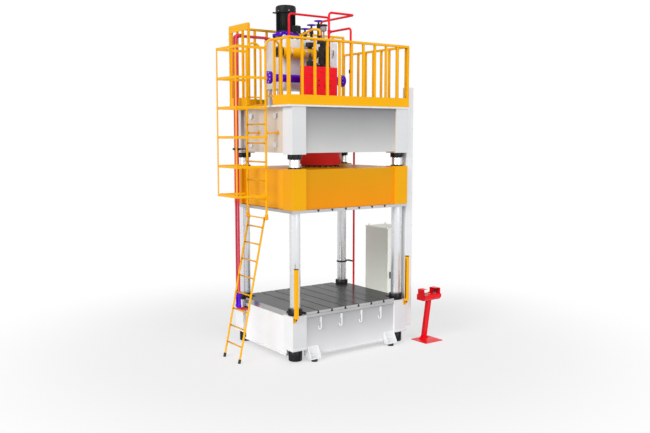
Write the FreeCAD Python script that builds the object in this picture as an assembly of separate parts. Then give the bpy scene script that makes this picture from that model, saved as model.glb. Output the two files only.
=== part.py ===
import FreeCAD, Part
import os
import math

# Four-column hydraulic press with its service platform, caged ladder, oil unit, control
# cabinet and two-hand pedestal. Millimetres, +Z up, slide at the top of its stroke.
# Origin: on the floor, midway between the four columns. The operator stands at -Y and
# +X is at the operator's right.

# ---- Driving dimensions -----------------------------------------------------------------
COLUMN_X = 1170.0            # column centres are at +-X and +-Y
COLUMN_Y = 870.0
COLUMN_R = 95.0
BLOCK = 295.0                # side of the square corner block round each column
STROKE = 900.0               # travel of the slide, downwards

TABLE_TOP = 890.0            # working height of the table
SLIDE_BOTTOM = 2655.0        # face of the slide plate, slide fully up
SLIDE_TOP = 3425.0
CROWN_BOTTOM = 3675.0
CROWN_TOP = 4500.0
DECK = 30.0                  # thickness of the platform plate
DECK_TOP = CROWN_TOP + DECK

PANEL_X = 1258.0             # side panels stand back from the corner blocks
PANEL_Y = 985.0              # front and back panels
EDGE_X = COLUMN_X + BLOCK / 2.0
EDGE_Y = COLUMN_Y + BLOCK / 2.0

PLATFORM_LEFT = -1385.0
PLATFORM_RIGHT = 1320.0
PLATFORM_Y = 1035.0
RAIL_TOP = 5675.0            # guard rail on the front, the right and the front of the left
HIGH_RAIL_TOP = 6040.0       # the back of the platform has a taller guard
TOE_BOARD = 170.0
BAR = 40.0                   # square bars of the guard rails

LADDER_X = -1510.0           # plane of the ladder's stringers
LADDER_NEAR = -483.0         # the two stringers, towards the operator and away
LADDER_FAR = 167.0
STRINGER_R = 20.0
RUNG_R = 14.0
RUNG_STEP = 330.0
CAGE_X = -2100.0             # outer face of the climbing cage
PIVOT_Z = 2545.0             # the foot ladder hangs from a shaft here
FOOT_X = -2055.0             # where the foot ladder meets the floor

os.makedirs("parts", exist_ok=True)
SIDES = (-1, 1)


# ---- Small building blocks --------------------------------------------------------------
def at(x, y, z):
    return FreeCAD.Vector(x, y, z)


UP = at(0, 0, 1)
RIGHT = at(1, 0, 0)
BACK = at(0, 1, 0)


def box(x0, x1, y0, y1, z0, z1):
    """Box between two values on each axis, in either order."""
    low = at(min(x0, x1), min(y0, y1), min(z0, z1))
    return Part.makeBox(abs(x1 - x0), abs(y1 - y0), abs(z1 - z0), low)


def disc(x, y, z0, z1, radius):
    """Upright round solid."""
    return Part.makeCylinder(radius, z1 - z0, at(x, y, z0), UP)


def ring(x, y, z0, z1, outer, inner):
    """Upright tube."""
    return disc(x, y, z0, z1, outer).cut(disc(x, y, z0, z1, inner))


def rod(start, end, radius):
    """Round bar between two points."""
    run = end - start
    return Part.makeCylinder(radius, run.Length, start, run)


def fuse(pieces):
    """One solid out of several."""
    whole = pieces[0]
    if len(pieces) > 1:
        whole = pieces[0].multiFuse(pieces[1:])
    return whole.removeSplitter()


def turned(x, y, outline):
    """Solid of revolution about an upright axis, from (radius, height) points."""
    points = [at(x + r, y, z) for r, z in outline]
    points.append(points[0])
    face = Part.Face(Part.makePolygon(points))
    return face.revolve(at(x, y, 0), UP, 360)


def bent_pipe(points, radius, bend):
    """Round pipe through the points, with tangent bends of one centre-line radius."""
    pieces = []
    start = points[0]
    for before, corner, after in zip(points, points[1:], points[2:]):
        along = (corner - before).normalize()
        away = (after - corner).normalize()
        turn = along.getAngle(away)
        reach = bend * math.tan(turn / 2.0)
        bend_start = corner - along * reach
        axis = along.cross(away).normalize()
        centre = bend_start + axis.cross(along) * bend
        section = Part.Face(Part.Wire(Part.makeCircle(radius, bend_start, along)))
        pieces.append(rod(start, bend_start, radius))
        pieces.append(section.revolve(centre, axis, math.degrees(turn)))
        start = corner + away * reach
    pieces.append(rod(start, points[-1], radius))
    return fuse(pieces)


def t_slot(x, top, direction, half_length):
    """Cutter for a T-slot along Y: direction is -1 from a top face down, 1 from below up."""
    outline = [
        (-SLOT_NECK / 2, -direction), (-SLOT_NECK / 2, SLOT_NECK_DEPTH * direction),
        (-SLOT_HEAD / 2, SLOT_NECK_DEPTH * direction), (-SLOT_HEAD / 2, SLOT_DEPTH * direction),
        (SLOT_HEAD / 2, SLOT_DEPTH * direction), (SLOT_HEAD / 2, SLOT_NECK_DEPTH * direction),
        (SLOT_NECK / 2, SLOT_NECK_DEPTH * direction), (SLOT_NECK / 2, -direction)]
    points = [at(x + dx, -half_length, top + dz) for dx, dz in outline]
    points.append(points[0])
    return Part.Face(Part.makePolygon(points)).extrude(at(0, 2 * half_length, 0))


def at_corners(make):
    """Call make(x, y) at the four columns."""
    return [make(sx * COLUMN_X, sy * COLUMN_Y) for sx in SIDES for sy in SIDES]


def save(name, pieces):
    """Write one sub-part: a solid, or a group of like solids."""
    shape = pieces
    if isinstance(pieces, list):
        shape = Part.makeCompound(pieces)
    shape.exportStep("parts/" + name + ".step")


# ---- Welded boxes: bed, slide and crown ---------------------------------------------------
WALL = 50.0
RIB = 40.0
CELLS_X = 5
CELLS_Y = 4


def cell_spans(half, count):
    """Lowest and highest value of each pocket between the ribs."""
    inner = 2 * (half - WALL)
    width = (inner - (count - 1) * RIB) / count
    starts = [-half + WALL + i * (width + RIB) for i in range(count)]
    return [(start, start + width) for start in starts]


def ribbed_box(z0, z1, pocket_z0, pocket_z1):
    """Box of plates with a grid of ribs, open where the pockets reach a face."""
    body = box(-PANEL_X, PANEL_X, -PANEL_Y, PANEL_Y, z0, z1)
    pockets = []
    for x0, x1 in cell_spans(PANEL_X, CELLS_X):
        for y0, y1 in cell_spans(PANEL_Y, CELLS_Y):
            pockets.append(box(x0, x1, y0, y1, pocket_z0, pocket_z1))
    return body.cut(Part.makeCompound(pockets))


def corner_block(x, y, z0, z1):
    return box(x - BLOCK / 2, x + BLOCK / 2, y - BLOCK / 2, y + BLOCK / 2, z0, z1)


def column_bores(radius, z0, z1):
    return at_corners(lambda x, y: disc(x, y, z0, z1, radius))


# ---- Bed, table and feet --------------------------------------------------------------------
BED_BOTTOM = 82.0
BED_TOP = 790.0
BED_BLOCK_BOTTOM = 220.0
BED_BLOCK_TOP = 842.0
BED_TOP_PLATE = 80.0
FLANGE = 38.0
FLANGE_LIP = 20.0
SLOT_NECK = 28.0
SLOT_HEAD = 50.0
SLOT_NECK_DEPTH = 28.0
SLOT_DEPTH = 48.0
SLOT_PITCH = 305.0
SLOT_COUNT = 6
TABLE_X = 1255.0
TABLE_Y = 1005.0
TABLE_GAP = 4.0              # between the table's notches and the corner blocks
SLOT_PLACES = [(i - (SLOT_COUNT - 1) / 2.0) * SLOT_PITCH for i in range(SLOT_COUNT)]


def bed_frame():
    """Ribbed plate box between four corner blocks that stand proud of its top."""
    inner_x = COLUMN_X - BLOCK / 2
    inner_y = COLUMN_Y - BLOCK / 2
    half = BLOCK / 2 + FLANGE_LIP / 2
    blocks = []
    for sx in SIDES:
        for sy in SIDES:
            x = sx * COLUMN_X
            y = sy * COLUMN_Y
            foot = box(x - half, x + half, y - half, y + half, BED_BLOCK_BOTTOM, BED_BLOCK_BOTTOM + FLANGE)
            blocks.append(fuse([corner_block(x, y, BED_BLOCK_BOTTOM, BED_BLOCK_TOP), foot]))
    reliefs = [box(sx * inner_x, sx * EDGE_X, sy * inner_y, sy * EDGE_Y, 0, BED_BLOCK_BOTTOM)
               for sx in SIDES for sy in SIDES]
    shell = ribbed_box(BED_BOTTOM, BED_TOP, BED_BOTTOM, BED_TOP - BED_TOP_PLATE)
    lip_x = PANEL_X + FLANGE_LIP
    lip_y = PANEL_Y + FLANGE_LIP
    lip_top = BED_BOTTOM + FLANGE
    lips = [box(-inner_x, inner_x, sy * PANEL_Y, sy * lip_y, BED_BOTTOM, lip_top) for sy in SIDES]
    lips += [box(sx * PANEL_X, sx * lip_x, -inner_y, inner_y, BED_BOTTOM, lip_top) for sx in SIDES]
    middle = fuse([shell] + lips).cut(Part.makeCompound(reliefs + blocks))
    bores = Part.makeCompound(column_bores(COLUMN_R, 0, CROWN_BOTTOM))
    return [middle] + [block.cut(bores) for block in blocks]


def table_plate():
    """T-slotted table: a base plate and seven bars, whose undercut sides form the slots."""
    slot_floor = TABLE_TOP - SLOT_DEPTH
    neck_floor = TABLE_TOP - SLOT_NECK_DEPTH
    notch_x = COLUMN_X - BLOCK / 2 - TABLE_GAP
    notch_y = COLUMN_Y - BLOCK / 2 - TABLE_GAP
    corners = [box(sx * notch_x, sx * EDGE_X, sy * notch_y, sy * EDGE_Y, BED_TOP, TABLE_TOP)
               for sx in SIDES for sy in SIDES]
    notches = Part.makeCompound(corners)
    base = box(-TABLE_X, TABLE_X, -TABLE_Y, TABLE_Y, BED_TOP, slot_floor).cut(notches)
    lefts = [-TABLE_X] + SLOT_PLACES
    rights = SLOT_PLACES + [TABLE_X]
    bars = []
    for left, right in zip(lefts, rights):
        left_gap = 0.0 if left == -TABLE_X else 0.5
        right_gap = 0.0 if right == TABLE_X else 0.5
        foot = box(left + left_gap * SLOT_HEAD, right - right_gap * SLOT_HEAD, -TABLE_Y, TABLE_Y,
                   slot_floor, neck_floor)
        head = box(left + left_gap * SLOT_NECK, right - right_gap * SLOT_NECK, -TABLE_Y, TABLE_Y,
                   neck_floor, TABLE_TOP)
        bars.append(fuse([foot, head]).cut(notches))
    return [base] + bars


PAD_H = 45.0
PAD_R = 58.0
ANCHOR_R = 14.0
BRACKET_PLATE = 25.0
BRACKET_REACH = 130.0
BRACKET_WIDTH = 230.0
BRACKET_TOP = 260.0
RIB_PLATE = 18.0
FRONT_FOOT_X = 890.0         # feet on the front and the back of the bed
HOLE_OUT = 80.0              # from the panel to the anchor hole


def foot_bracket():
    """One foot bracket, built at the origin against a wall at y = 0, reaching to -Y."""
    half = BRACKET_WIDTH / 2
    base = PAD_H
    top = base + BRACKET_PLATE
    plate = box(-half, half, -BRACKET_REACH, 0, base, top)
    heel = box(-half, half, -FLANGE_LIP - RIB_PLATE, -FLANGE_LIP, top, BED_BOTTOM + FLANGE)
    back = box(-half, half, -RIB_PLATE, 0, BED_BOTTOM + FLANGE, BRACKET_TOP)
    profile = [at(0, 0, BED_BOTTOM + FLANGE), at(0, 0, BRACKET_TOP), at(0, -RIB_PLATE * 2, BRACKET_TOP),
               at(0, -BRACKET_REACH, top + RIB_PLATE), at(0, -BRACKET_REACH, top),
               at(0, -FLANGE_LIP, top), at(0, -FLANGE_LIP, BED_BOTTOM + FLANGE)]
    profile.append(profile[0])
    rib = Part.Face(Part.makePolygon(profile)).extrude(at(RIB_PLATE, 0, 0))
    ribs = []
    for x in (-half, half - RIB_PLATE):
        copy = rib.copy()
        copy.translate(at(x, 0, 0))
        ribs.append(copy)
    whole = fuse([plate, heel, back] + ribs)
    lip = box(-half, half, -FLANGE_LIP, 0, BED_BOTTOM, BED_BOTTOM + FLANGE)
    return whole.cut(lip).cut(disc(0, -HOLE_OUT, 0, top, ANCHOR_R))


def foot_places():
    """Turn about Z and position of each foot, on the front and the back of the bed."""
    places = []
    for s in SIDES:
        places.append((0, at(s * FRONT_FOOT_X, -PANEL_Y, 0)))
        places.append((180, at(s * FRONT_FOOT_X, PANEL_Y, 0)))
    return places


def placed_on_feet(make):
    copies = []
    for turn, place in foot_places():
        copy = make()
        copy.rotate(at(0, 0, 0), UP, turn)
        copy.translate(place)
        copies.append(copy)
    return copies


def foot_pad():
    return ring(0, -HOLE_OUT, 0, PAD_H, PAD_R, ANCHOR_R)


HOOK_PLACES = (-697.0, -232.0, 232.0, 697.0)
HOOK_R = 14.0
HOOK_TOP = 770.0
HOOK_BOTTOM = 545.0


def die_hook(x):
    """Welded hook under the table edge that holds clamps and chains."""
    y = -PANEL_Y - HOOK_R
    tip = x - 4 * HOOK_R
    shank = bent_pipe([at(x, y, HOOK_TOP), at(x, y, HOOK_BOTTOM), at(tip, y, HOOK_BOTTOM),
                       at(tip, y, HOOK_BOTTOM + 4 * HOOK_R)], HOOK_R, 2 * HOOK_R - 1)
    pad = box(x - 1.5 * HOOK_R, x + 1.5 * HOOK_R, -PANEL_Y - 8, -PANEL_Y, HOOK_TOP - 90, HOOK_TOP)
    return fuse([shank, pad])


# ---- Columns and their nuts -------------------------------------------------------------------
COLUMN_FOOT = 30.0
COLUMN_HEAD = 4655.0
NUT_R = 123.0
COLLAR_R = 130.0
CHAMFER = 8.0


def column(x, y):
    taper = 10.0
    return turned(x, y, [(0, COLUMN_FOOT), (COLUMN_R - taper, COLUMN_FOOT),
                         (COLUMN_R, COLUMN_FOOT + taper), (COLUMN_R, COLUMN_HEAD - taper),
                         (COLUMN_R - taper, COLUMN_HEAD), (0, COLUMN_HEAD)])


def nut(x, y, z0, z1, radius):
    """Round nut with chamfered rims and four slots for a hook spanner."""
    body = turned(x, y, [(COLUMN_R, z0), (radius - CHAMFER, z0), (radius, z0 + CHAMFER),
                         (radius, z1 - CHAMFER), (radius - CHAMFER, z1), (COLUMN_R, z1)])
    slot_w = 12.0
    slot_d = 10.0
    slots = []
    for sx in SIDES:
        slots.append(box(x + sx * (radius - slot_d), x + sx * radius * 1.1,
                         y - slot_w, y + slot_w, z0, z1))
        slots.append(box(x - slot_w, x + slot_w,
                         y + sx * (radius - slot_d), y + sx * radius * 1.1, z0, z1))
    return body.cut(Part.makeCompound(slots))


def column_nuts():
    spans = ((20.0, BED_BLOCK_BOTTOM, NUT_R), (BED_BLOCK_TOP, 962.0, COLLAR_R),
             (3590.0, CROWN_BOTTOM, NUT_R), (CROWN_TOP, 4640.0, NUT_R))
    nuts = []
    for z0, z1, radius in spans:
        nuts += at_corners(lambda x, y: nut(x, y, z0, z1, radius))
    return nuts


# ---- Crown and main cylinder --------------------------------------------------------------------
CROWN_PANEL_BOTTOM = 3700.0
CROWN_FLOOR = 90.0
CYLINDER_R = 400.0
SPIGOT_R = 350.0
THREAD_R = 330.0
BORE_R = 285.0
GLAND_R = 320.0
RAM_R = 250.0
CYLINDER_BOTTOM = 3450.0
GLAND_TOP = 3560.0
BORE_TOP = 4605.0
CYLINDER_TOP = 4660.0
PORT_R = 90.0
RUN_FIT = 0.06               # radial clearance of everything that slides or turns
BOSS_R = 55.0
BOSS_OUT = 35.0
BOSS_Y = 415.0
BOSS_HEIGHTS = (3840.0, 4350.0)
BOSS_RIM_R = 68.0
BOSS_RIM = 12.0


def crown_frame():
    shell = ribbed_box(CROWN_PANEL_BOTTOM, CROWN_TOP, CROWN_PANEL_BOTTOM + CROWN_FLOOR, CROWN_TOP)
    pieces = [shell, disc(0, 0, CROWN_PANEL_BOTTOM, CROWN_TOP, CYLINDER_R + WALL)]
    pieces += at_corners(lambda x, y: corner_block(x, y, CROWN_BOTTOM, CROWN_TOP))
    holes = column_bores(COLUMN_R, CROWN_BOTTOM, CROWN_TOP)
    holes.append(disc(0, 0, CROWN_BOTTOM, CROWN_TOP, SPIGOT_R))
    for sx in SIDES:
        for y in (-BOSS_Y, BOSS_Y):
            for z in BOSS_HEIGHTS:
                face = at(sx * (PANEL_X - WALL), y, z)
                pieces.append(Part.makeCylinder(BOSS_R, WALL + BOSS_OUT, face, RIGHT * sx))
                pieces.append(Part.makeCylinder(BOSS_RIM_R, WALL + BOSS_RIM, face, RIGHT * sx))
    return fuse(pieces).cut(Part.makeCompound(holes))


def main_cylinder():
    return turned(0, 0, [
        (GLAND_R, CYLINDER_BOTTOM), (CYLINDER_R - 20, CYLINDER_BOTTOM),
        (CYLINDER_R, CYLINDER_BOTTOM + 20), (CYLINDER_R, CROWN_PANEL_BOTTOM),
        (SPIGOT_R, CROWN_PANEL_BOTTOM), (SPIGOT_R, CROWN_TOP), (THREAD_R, CROWN_TOP),
        (THREAD_R, CYLINDER_TOP - 15), (THREAD_R - 15, CYLINDER_TOP), (PORT_R, CYLINDER_TOP),
        (PORT_R, BORE_TOP), (BORE_R, BORE_TOP), (BORE_R, GLAND_TOP), (GLAND_R, GLAND_TOP)])


RING_NUT_R = 425.0
RING_NUT_TOP = 4620.0


def cylinder_ring_nut():
    slot_w = 30.0
    body = turned(0, 0, [(THREAD_R, CROWN_TOP), (RING_NUT_R, CROWN_TOP),
                         (RING_NUT_R, RING_NUT_TOP - 12), (RING_NUT_R - 12, RING_NUT_TOP),
                         (THREAD_R, RING_NUT_TOP)])
    slots = []
    for i in range(6):
        slot = box(RING_NUT_R - 25, RING_NUT_R * 1.1, -slot_w / 2, slot_w / 2, CROWN_TOP, RING_NUT_TOP)
        slot.rotate(at(0, 0, 0), UP, 60.0 * i)
        slots.append(slot)
    return body.cut(Part.makeCompound(slots))


GLAND_FLANGE = 18.0
GLAND_FLANGE_R = 375.0


def cylinder_gland():
    """Flanged packing sleeve that guides and seals the ram."""
    inner = RAM_R + RUN_FIT
    flange_bottom = CYLINDER_BOTTOM - GLAND_FLANGE
    return turned(0, 0, [(inner, flange_bottom), (GLAND_FLANGE_R, flange_bottom),
                         (GLAND_FLANGE_R, CYLINDER_BOTTOM), (GLAND_R, CYLINDER_BOTTOM),
                         (GLAND_R, GLAND_TOP), (inner, GLAND_TOP)])


PREFILL_TOP = 4820.0
PREFILL_FOOT_R = 190.0
PREFILL_BODY_R = 110.0
PREFILL_HEAD_R = 135.0
PREFILL_FLANGE = 35.0


def prefill_valve():
    """Large check valve that fills the cylinder from the suction line."""
    foot_top = CYLINDER_TOP + PREFILL_FLANGE
    return turned(0, 0, [(0, CYLINDER_TOP), (PREFILL_FOOT_R, CYLINDER_TOP), (PREFILL_FOOT_R, foot_top),
                         (PREFILL_BODY_R + 15, foot_top), (PREFILL_BODY_R, foot_top + 25),
                         (PREFILL_BODY_R, PREFILL_TOP - 40), (PREFILL_HEAD_R, PREFILL_TOP - 30),
                         (PREFILL_HEAD_R, PREFILL_TOP), (0, PREFILL_TOP)])


# ---- Slide ------------------------------------------------------------------------------------------
SLIDE_PLATE = 52.0
PLATE_STEP = 28.0            # raised middle of the plate that locates in the frame
STEP_GAP = 1.0
SLIDE_PANEL_TOP = 3405.0
SLIDE_ROOF = 90.0
BUSH_WALL = 14.0
BUSH_LENGTH = 220.0
BUSH_FLANGE_R = 118.0
BUSH_FLANGE = 14.0
HUB_R = 330.0
RAM_SPIGOT_R = 180.0
RAM_SPIGOT = 70.0
PISTON_BOTTOM = GLAND_TOP + STROKE + 10.0
PISTON_TOP = PISTON_BOTTOM + 125.0


def slide_frame():
    bottom = SLIDE_BOTTOM + SLIDE_PLATE
    shell = ribbed_box(bottom, SLIDE_PANEL_TOP, bottom, SLIDE_PANEL_TOP - SLIDE_ROOF)
    pieces = [shell, disc(0, 0, bottom, SLIDE_TOP, HUB_R)]
    pieces += at_corners(lambda x, y: corner_block(x, y, bottom, SLIDE_TOP))
    bores = column_bores(COLUMN_R + BUSH_WALL, bottom, SLIDE_TOP)
    bores += column_bores(BUSH_FLANGE_R, bottom, bottom + BUSH_FLANGE)
    bores.append(disc(0, 0, SLIDE_TOP - RAM_SPIGOT, SLIDE_TOP, RAM_SPIGOT_R))
    return fuse(pieces).cut(Part.makeCompound(bores)).cut(plate_step(0.0))


def plate_step(gap):
    """Cross-shaped step on the slide plate, smaller by the gap than its seat in the frame."""
    z0 = SLIDE_BOTTOM + SLIDE_PLATE
    z1 = z0 + PLATE_STEP - gap
    half_x = PANEL_X - WALL - gap
    half_y = PANEL_Y - WALL - gap
    notch_x = COLUMN_X - BLOCK / 2 - gap
    notch_y = COLUMN_Y - BLOCK / 2 - gap
    long_way = box(-half_x, half_x, -notch_y, notch_y, z0, z1)
    short_way = box(-notch_x, notch_x, -half_y, half_y, z0, z1)
    return fuse([long_way, short_way])


def slide_plate():
    top = SLIDE_BOTTOM + SLIDE_PLATE
    rim = 6.0
    plate = box(-EDGE_X + rim, EDGE_X - rim, -EDGE_Y + rim, EDGE_Y - rim, SLIDE_BOTTOM, top)
    cutters = [t_slot(x, SLIDE_BOTTOM, 1, EDGE_Y) for x in SLOT_PLACES]
    cutters += column_bores(BUSH_FLANGE_R, SLIDE_BOTTOM, top)
    return fuse([plate, plate_step(STEP_GAP)]).cut(Part.makeCompound(cutters))


def slide_bushes():
    """Flanged guide bushes, one from each end of every corner bore; the upper ones stand proud."""
    inner = COLUMN_R + RUN_FIT
    outer = COLUMN_R + BUSH_WALL
    bottom = SLIDE_BOTTOM + SLIDE_PLATE
    bushes = []
    for sx in SIDES:
        for sy in SIDES:
            x = sx * COLUMN_X
            y = sy * COLUMN_Y
            bushes.append(turned(x, y, [
                (inner, SLIDE_TOP + BUSH_FLANGE), (BUSH_FLANGE_R, SLIDE_TOP + BUSH_FLANGE),
                (BUSH_FLANGE_R, SLIDE_TOP), (outer, SLIDE_TOP),
                (outer, SLIDE_TOP - BUSH_LENGTH), (inner, SLIDE_TOP - BUSH_LENGTH)]))
            bushes.append(turned(x, y, [
                (inner, bottom), (BUSH_FLANGE_R, bottom), (BUSH_FLANGE_R, bottom + BUSH_FLANGE),
                (outer, bottom + BUSH_FLANGE), (outer, bottom + BUSH_LENGTH),
                (inner, bottom + BUSH_LENGTH)]))
    return bushes


def ram():
    """Piston and rod in one forging, spigoted into the slide."""
    base = SLIDE_TOP - RAM_SPIGOT
    return turned(0, 0, [
        (0, base), (RAM_SPIGOT_R, base), (RAM_SPIGOT_R, SLIDE_TOP), (RAM_R, SLIDE_TOP),
        (RAM_R, PISTON_BOTTOM), (BORE_R - RUN_FIT, PISTON_BOTTOM),
        (BORE_R - RUN_FIT, PISTON_TOP - 10), (BORE_R - 10, PISTON_TOP), (0, PISTON_TOP)])


# ---- Platform and guard rails --------------------------------------------------------------------
TOE_PLATE = 8.0
FRONT_GAPS = 10
SIDE_GAPS = 8
GATE_NEAR = -510.0           # the ladder's gap in the left guard
GATE_FAR = 327.0
BAND = 130.0                 # band of sheet along the top of the high left guard
PIPE_HOLE_R = 30.0


def platform_deck():
    plate = box(PLATFORM_LEFT, PLATFORM_RIGHT, -PLATFORM_Y, PLATFORM_Y, CROWN_TOP, DECK_TOP)
    holes = at_corners(lambda x, y: disc(x, y, CROWN_TOP, DECK_TOP, NUT_R + 6))
    holes.append(disc(0, 0, CROWN_TOP, DECK_TOP, RING_NUT_R + 10))
    holes.append(disc(FEED_X, FEED_Y, CROWN_TOP, DECK_TOP, PIPE_HOLE_R))
    return plate.cut(Part.makeCompound(holes))


def railing_x(y_face, inward, x0, x1, gaps, top, board):
    """Welded guard along X: toe board at y_face, bars and top rail on its inner side."""
    y_in = y_face + inward * TOE_PLATE
    y_bar = y_in + inward * BAR
    pieces = [box(x0, x1, y_face, y_in, DECK_TOP, DECK_TOP + board)]
    step = (x1 - x0 - BAR) / gaps
    for i in range(gaps + 1):
        x = x0 + i * step
        pieces.append(box(x, x + BAR, y_in, y_bar, DECK_TOP, top - BAR))
    pieces.append(box(x0, x1, y_in, y_bar, top - BAR, top))
    return pieces


def railing_y(x_face, inward, y0, y1, gaps, top, board):
    """Guard along Y, as railing_x."""
    x_in = x_face + inward * TOE_PLATE
    x_bar = x_in + inward * BAR
    pieces = [box(x_face, x_in, y0, y1, DECK_TOP, DECK_TOP + board)]
    step = (y1 - y0 - BAR) / gaps
    for i in range(gaps + 1):
        y = y0 + i * step
        pieces.append(box(x_in, x_bar, y, y + BAR, DECK_TOP, top - BAR))
    pieces.append(box(x_in, x_bar, y0, y1, top - BAR, top))
    return pieces


def railing_left():
    """Low guard beside the operator's end, high guard with a sheet band behind the ladder."""
    end = PLATFORM_Y - TOE_PLATE - BAR
    near = railing_y(PLATFORM_LEFT, 1, -end, GATE_NEAR, 2, RAIL_TOP, TOE_BOARD)
    far = railing_y(PLATFORM_LEFT, 1, GATE_FAR, end, 3, HIGH_RAIL_TOP, TOE_BOARD)
    band = box(PLATFORM_LEFT, PLATFORM_LEFT + TOE_PLATE, GATE_FAR, end,
               HIGH_RAIL_TOP - BAND, HIGH_RAIL_TOP)
    return near + far + [band]


# ---- Ladder ---------------------------------------------------------------------------------------
GOOSENECK = 147.5            # radius of the walk-through handles at the top
GOOSENECK_Z = 5510.0
HANDLE_X = LADDER_X + 2 * GOOSENECK
TIE_Z = 4690.0
STRINGER_FOOT = 2580.0
RUNGS = 6
LUG = 9.0
LUG_R = 32.0
PIVOT_R = 12.0
HOOP_STEP = 510.0
HOOP_TOP = 5500.0
HOOPS = 6
STRAP = 45.0
STRAP_T = 8.0
ARM_Z = 4050.0
LOWER_NEAR = -415.0
LOWER_FAR = 125.0
LOWER_R = 18.0
EYE_R = 26.0
LOWER_RUNG_TOP = 2380.0
LOWER_RUNG_STEP = 300.0
LOWER_RUNGS = 8


def ladder_upper():
    """Fixed ladder whose stringers run on as two arched handles down to the deck."""
    stringers = []
    pin = rod(at(LADDER_X, LADDER_NEAR - LUG, PIVOT_Z), at(LADDER_X, LADDER_FAR + LUG, PIVOT_Z), PIVOT_R)
    for y in (LADDER_NEAR, LADDER_FAR):
        section = Part.Face(Part.Wire(Part.makeCircle(STRINGER_R, at(LADDER_X, y, GOOSENECK_Z), UP)))
        stringers.append(fuse([
            rod(at(LADDER_X, y, STRINGER_FOOT), at(LADDER_X, y, GOOSENECK_Z), STRINGER_R),
            section.revolve(at(LADDER_X + GOOSENECK, y, GOOSENECK_Z), BACK, 180),
            rod(at(HANDLE_X, y, GOOSENECK_Z), at(HANDLE_X, y, DECK_TOP), STRINGER_R),
            rod(at(LADDER_X, y, TIE_Z), at(HANDLE_X, y, TIE_Z), RUNG_R),
            box(LADDER_X - LUG_R, LADDER_X + LUG_R, y - LUG / 2, y + LUG / 2,
                PIVOT_Z, STRINGER_FOOT + LUG_R),
            Part.makeCylinder(LUG_R, LUG, at(LADDER_X, y - LUG / 2, PIVOT_Z), BACK)]).cut(pin))
    pair = Part.makeCompound(stringers)
    rungs = []
    for i in range(RUNGS):
        z = DECK_TOP - i * RUNG_STEP
        rung = rod(at(LADDER_X, LADDER_NEAR, z), at(LADDER_X, LADDER_FAR, z), RUNG_R)
        rungs.append(rung.cut(pair))
    return stringers + rungs


def ladder_cage():
    """Rectangular safety cage of flat bars welded edge to edge."""
    near = LADDER_NEAR - STRINGER_R
    far = LADDER_FAR + STRINGER_R
    bars = []
    for i in range(HOOPS):
        z0 = HOOP_TOP - i * HOOP_STEP - STRAP / 2
        z1 = z0 + STRAP
        bars.append(box(CAGE_X, LADDER_X + STRINGER_R, near - STRAP_T, near, z0, z1))
        bars.append(box(CAGE_X, LADDER_X + STRINGER_R, far, far + STRAP_T, z0, z1))
        bars.append(box(CAGE_X, CAGE_X + STRAP_T, near, far, z0, z1))
    bottom = HOOP_TOP - (HOOPS - 1) * HOOP_STEP - STRAP / 2
    for y0, y1 in ((near - STRAP_T, near - STRAP_T + STRAP), (far + STRAP_T - STRAP, far + STRAP_T)):
        bars.append(box(CAGE_X - STRAP_T, CAGE_X, y0, y1, bottom, HOOP_TOP + STRAP / 2))
    return bars


def ladder_brackets():
    """Stand-off arms that hold the ladder off the crown."""
    arms = []
    for y in (LADDER_NEAR, LADDER_FAR):
        arm = rod(at(LADDER_X + STRINGER_R, y, ARM_Z), at(-PANEL_X - 12, y, ARM_Z), RUNG_R)
        pad = Part.makeCylinder(38, 12, at(-PANEL_X - 12, y, ARM_Z), RIGHT)
        clip = Part.makeCylinder(30, 10, at(LADDER_X + STRINGER_R, y, ARM_Z), RIGHT)
        arms.append(fuse([arm, pad, clip]))
    return arms


def ladder_pivot():
    """Hinge shaft of the foot ladder, with a round knob outside each lug."""
    near = LADDER_NEAR - LUG / 2
    far = LADDER_FAR + LUG / 2
    shaft = rod(at(LADDER_X, near, PIVOT_Z), at(LADDER_X, far, PIVOT_Z), PIVOT_R)
    knobs = []
    for y, way in ((near, -1), (far, 1)):
        knobs.append(Part.makeCylinder(27, 22, at(LADDER_X, y, PIVOT_Z), BACK * way))
    return fuse([shaft] + knobs)


def ladder_lower():
    """Foot ladder that leans out to the floor and swings up out of the way."""
    lean = (FOOT_X - LADDER_X) / PIVOT_Z
    below = 40.0
    inset = PIVOT_R + 3
    pin = rod(at(LADDER_X, LOWER_NEAR - EYE_R, PIVOT_Z), at(LADDER_X, LOWER_FAR + EYE_R, PIVOT_Z),
              PIVOT_R + RUN_FIT)
    floor = box(FOOT_X - 200, FOOT_X + 200, LOWER_NEAR - 100, LOWER_FAR + 100, -2 * below, 0)
    rails = []
    for y in (LOWER_NEAR, LOWER_FAR):
        rail = rod(at(LADDER_X + lean * inset, y, PIVOT_Z - inset), at(FOOT_X + lean * below, y, -below),
                   LOWER_R)
        eye = Part.makeCylinder(EYE_R, 2 * LOWER_R, at(LADDER_X, y - LOWER_R, PIVOT_Z), BACK)
        rails.append(fuse([rail.cut(floor), eye.cut(pin)]))
    pair = Part.makeCompound(rails)
    rungs = []
    for i in range(LOWER_RUNGS):
        z = LOWER_RUNG_TOP - i * LOWER_RUNG_STEP
        x = LADDER_X + lean * (PIVOT_Z - z)
        rungs.append(rod(at(x, LOWER_NEAR, z), at(x, LOWER_FAR, z), RUNG_R).cut(pair))
    return rails + rungs


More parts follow.
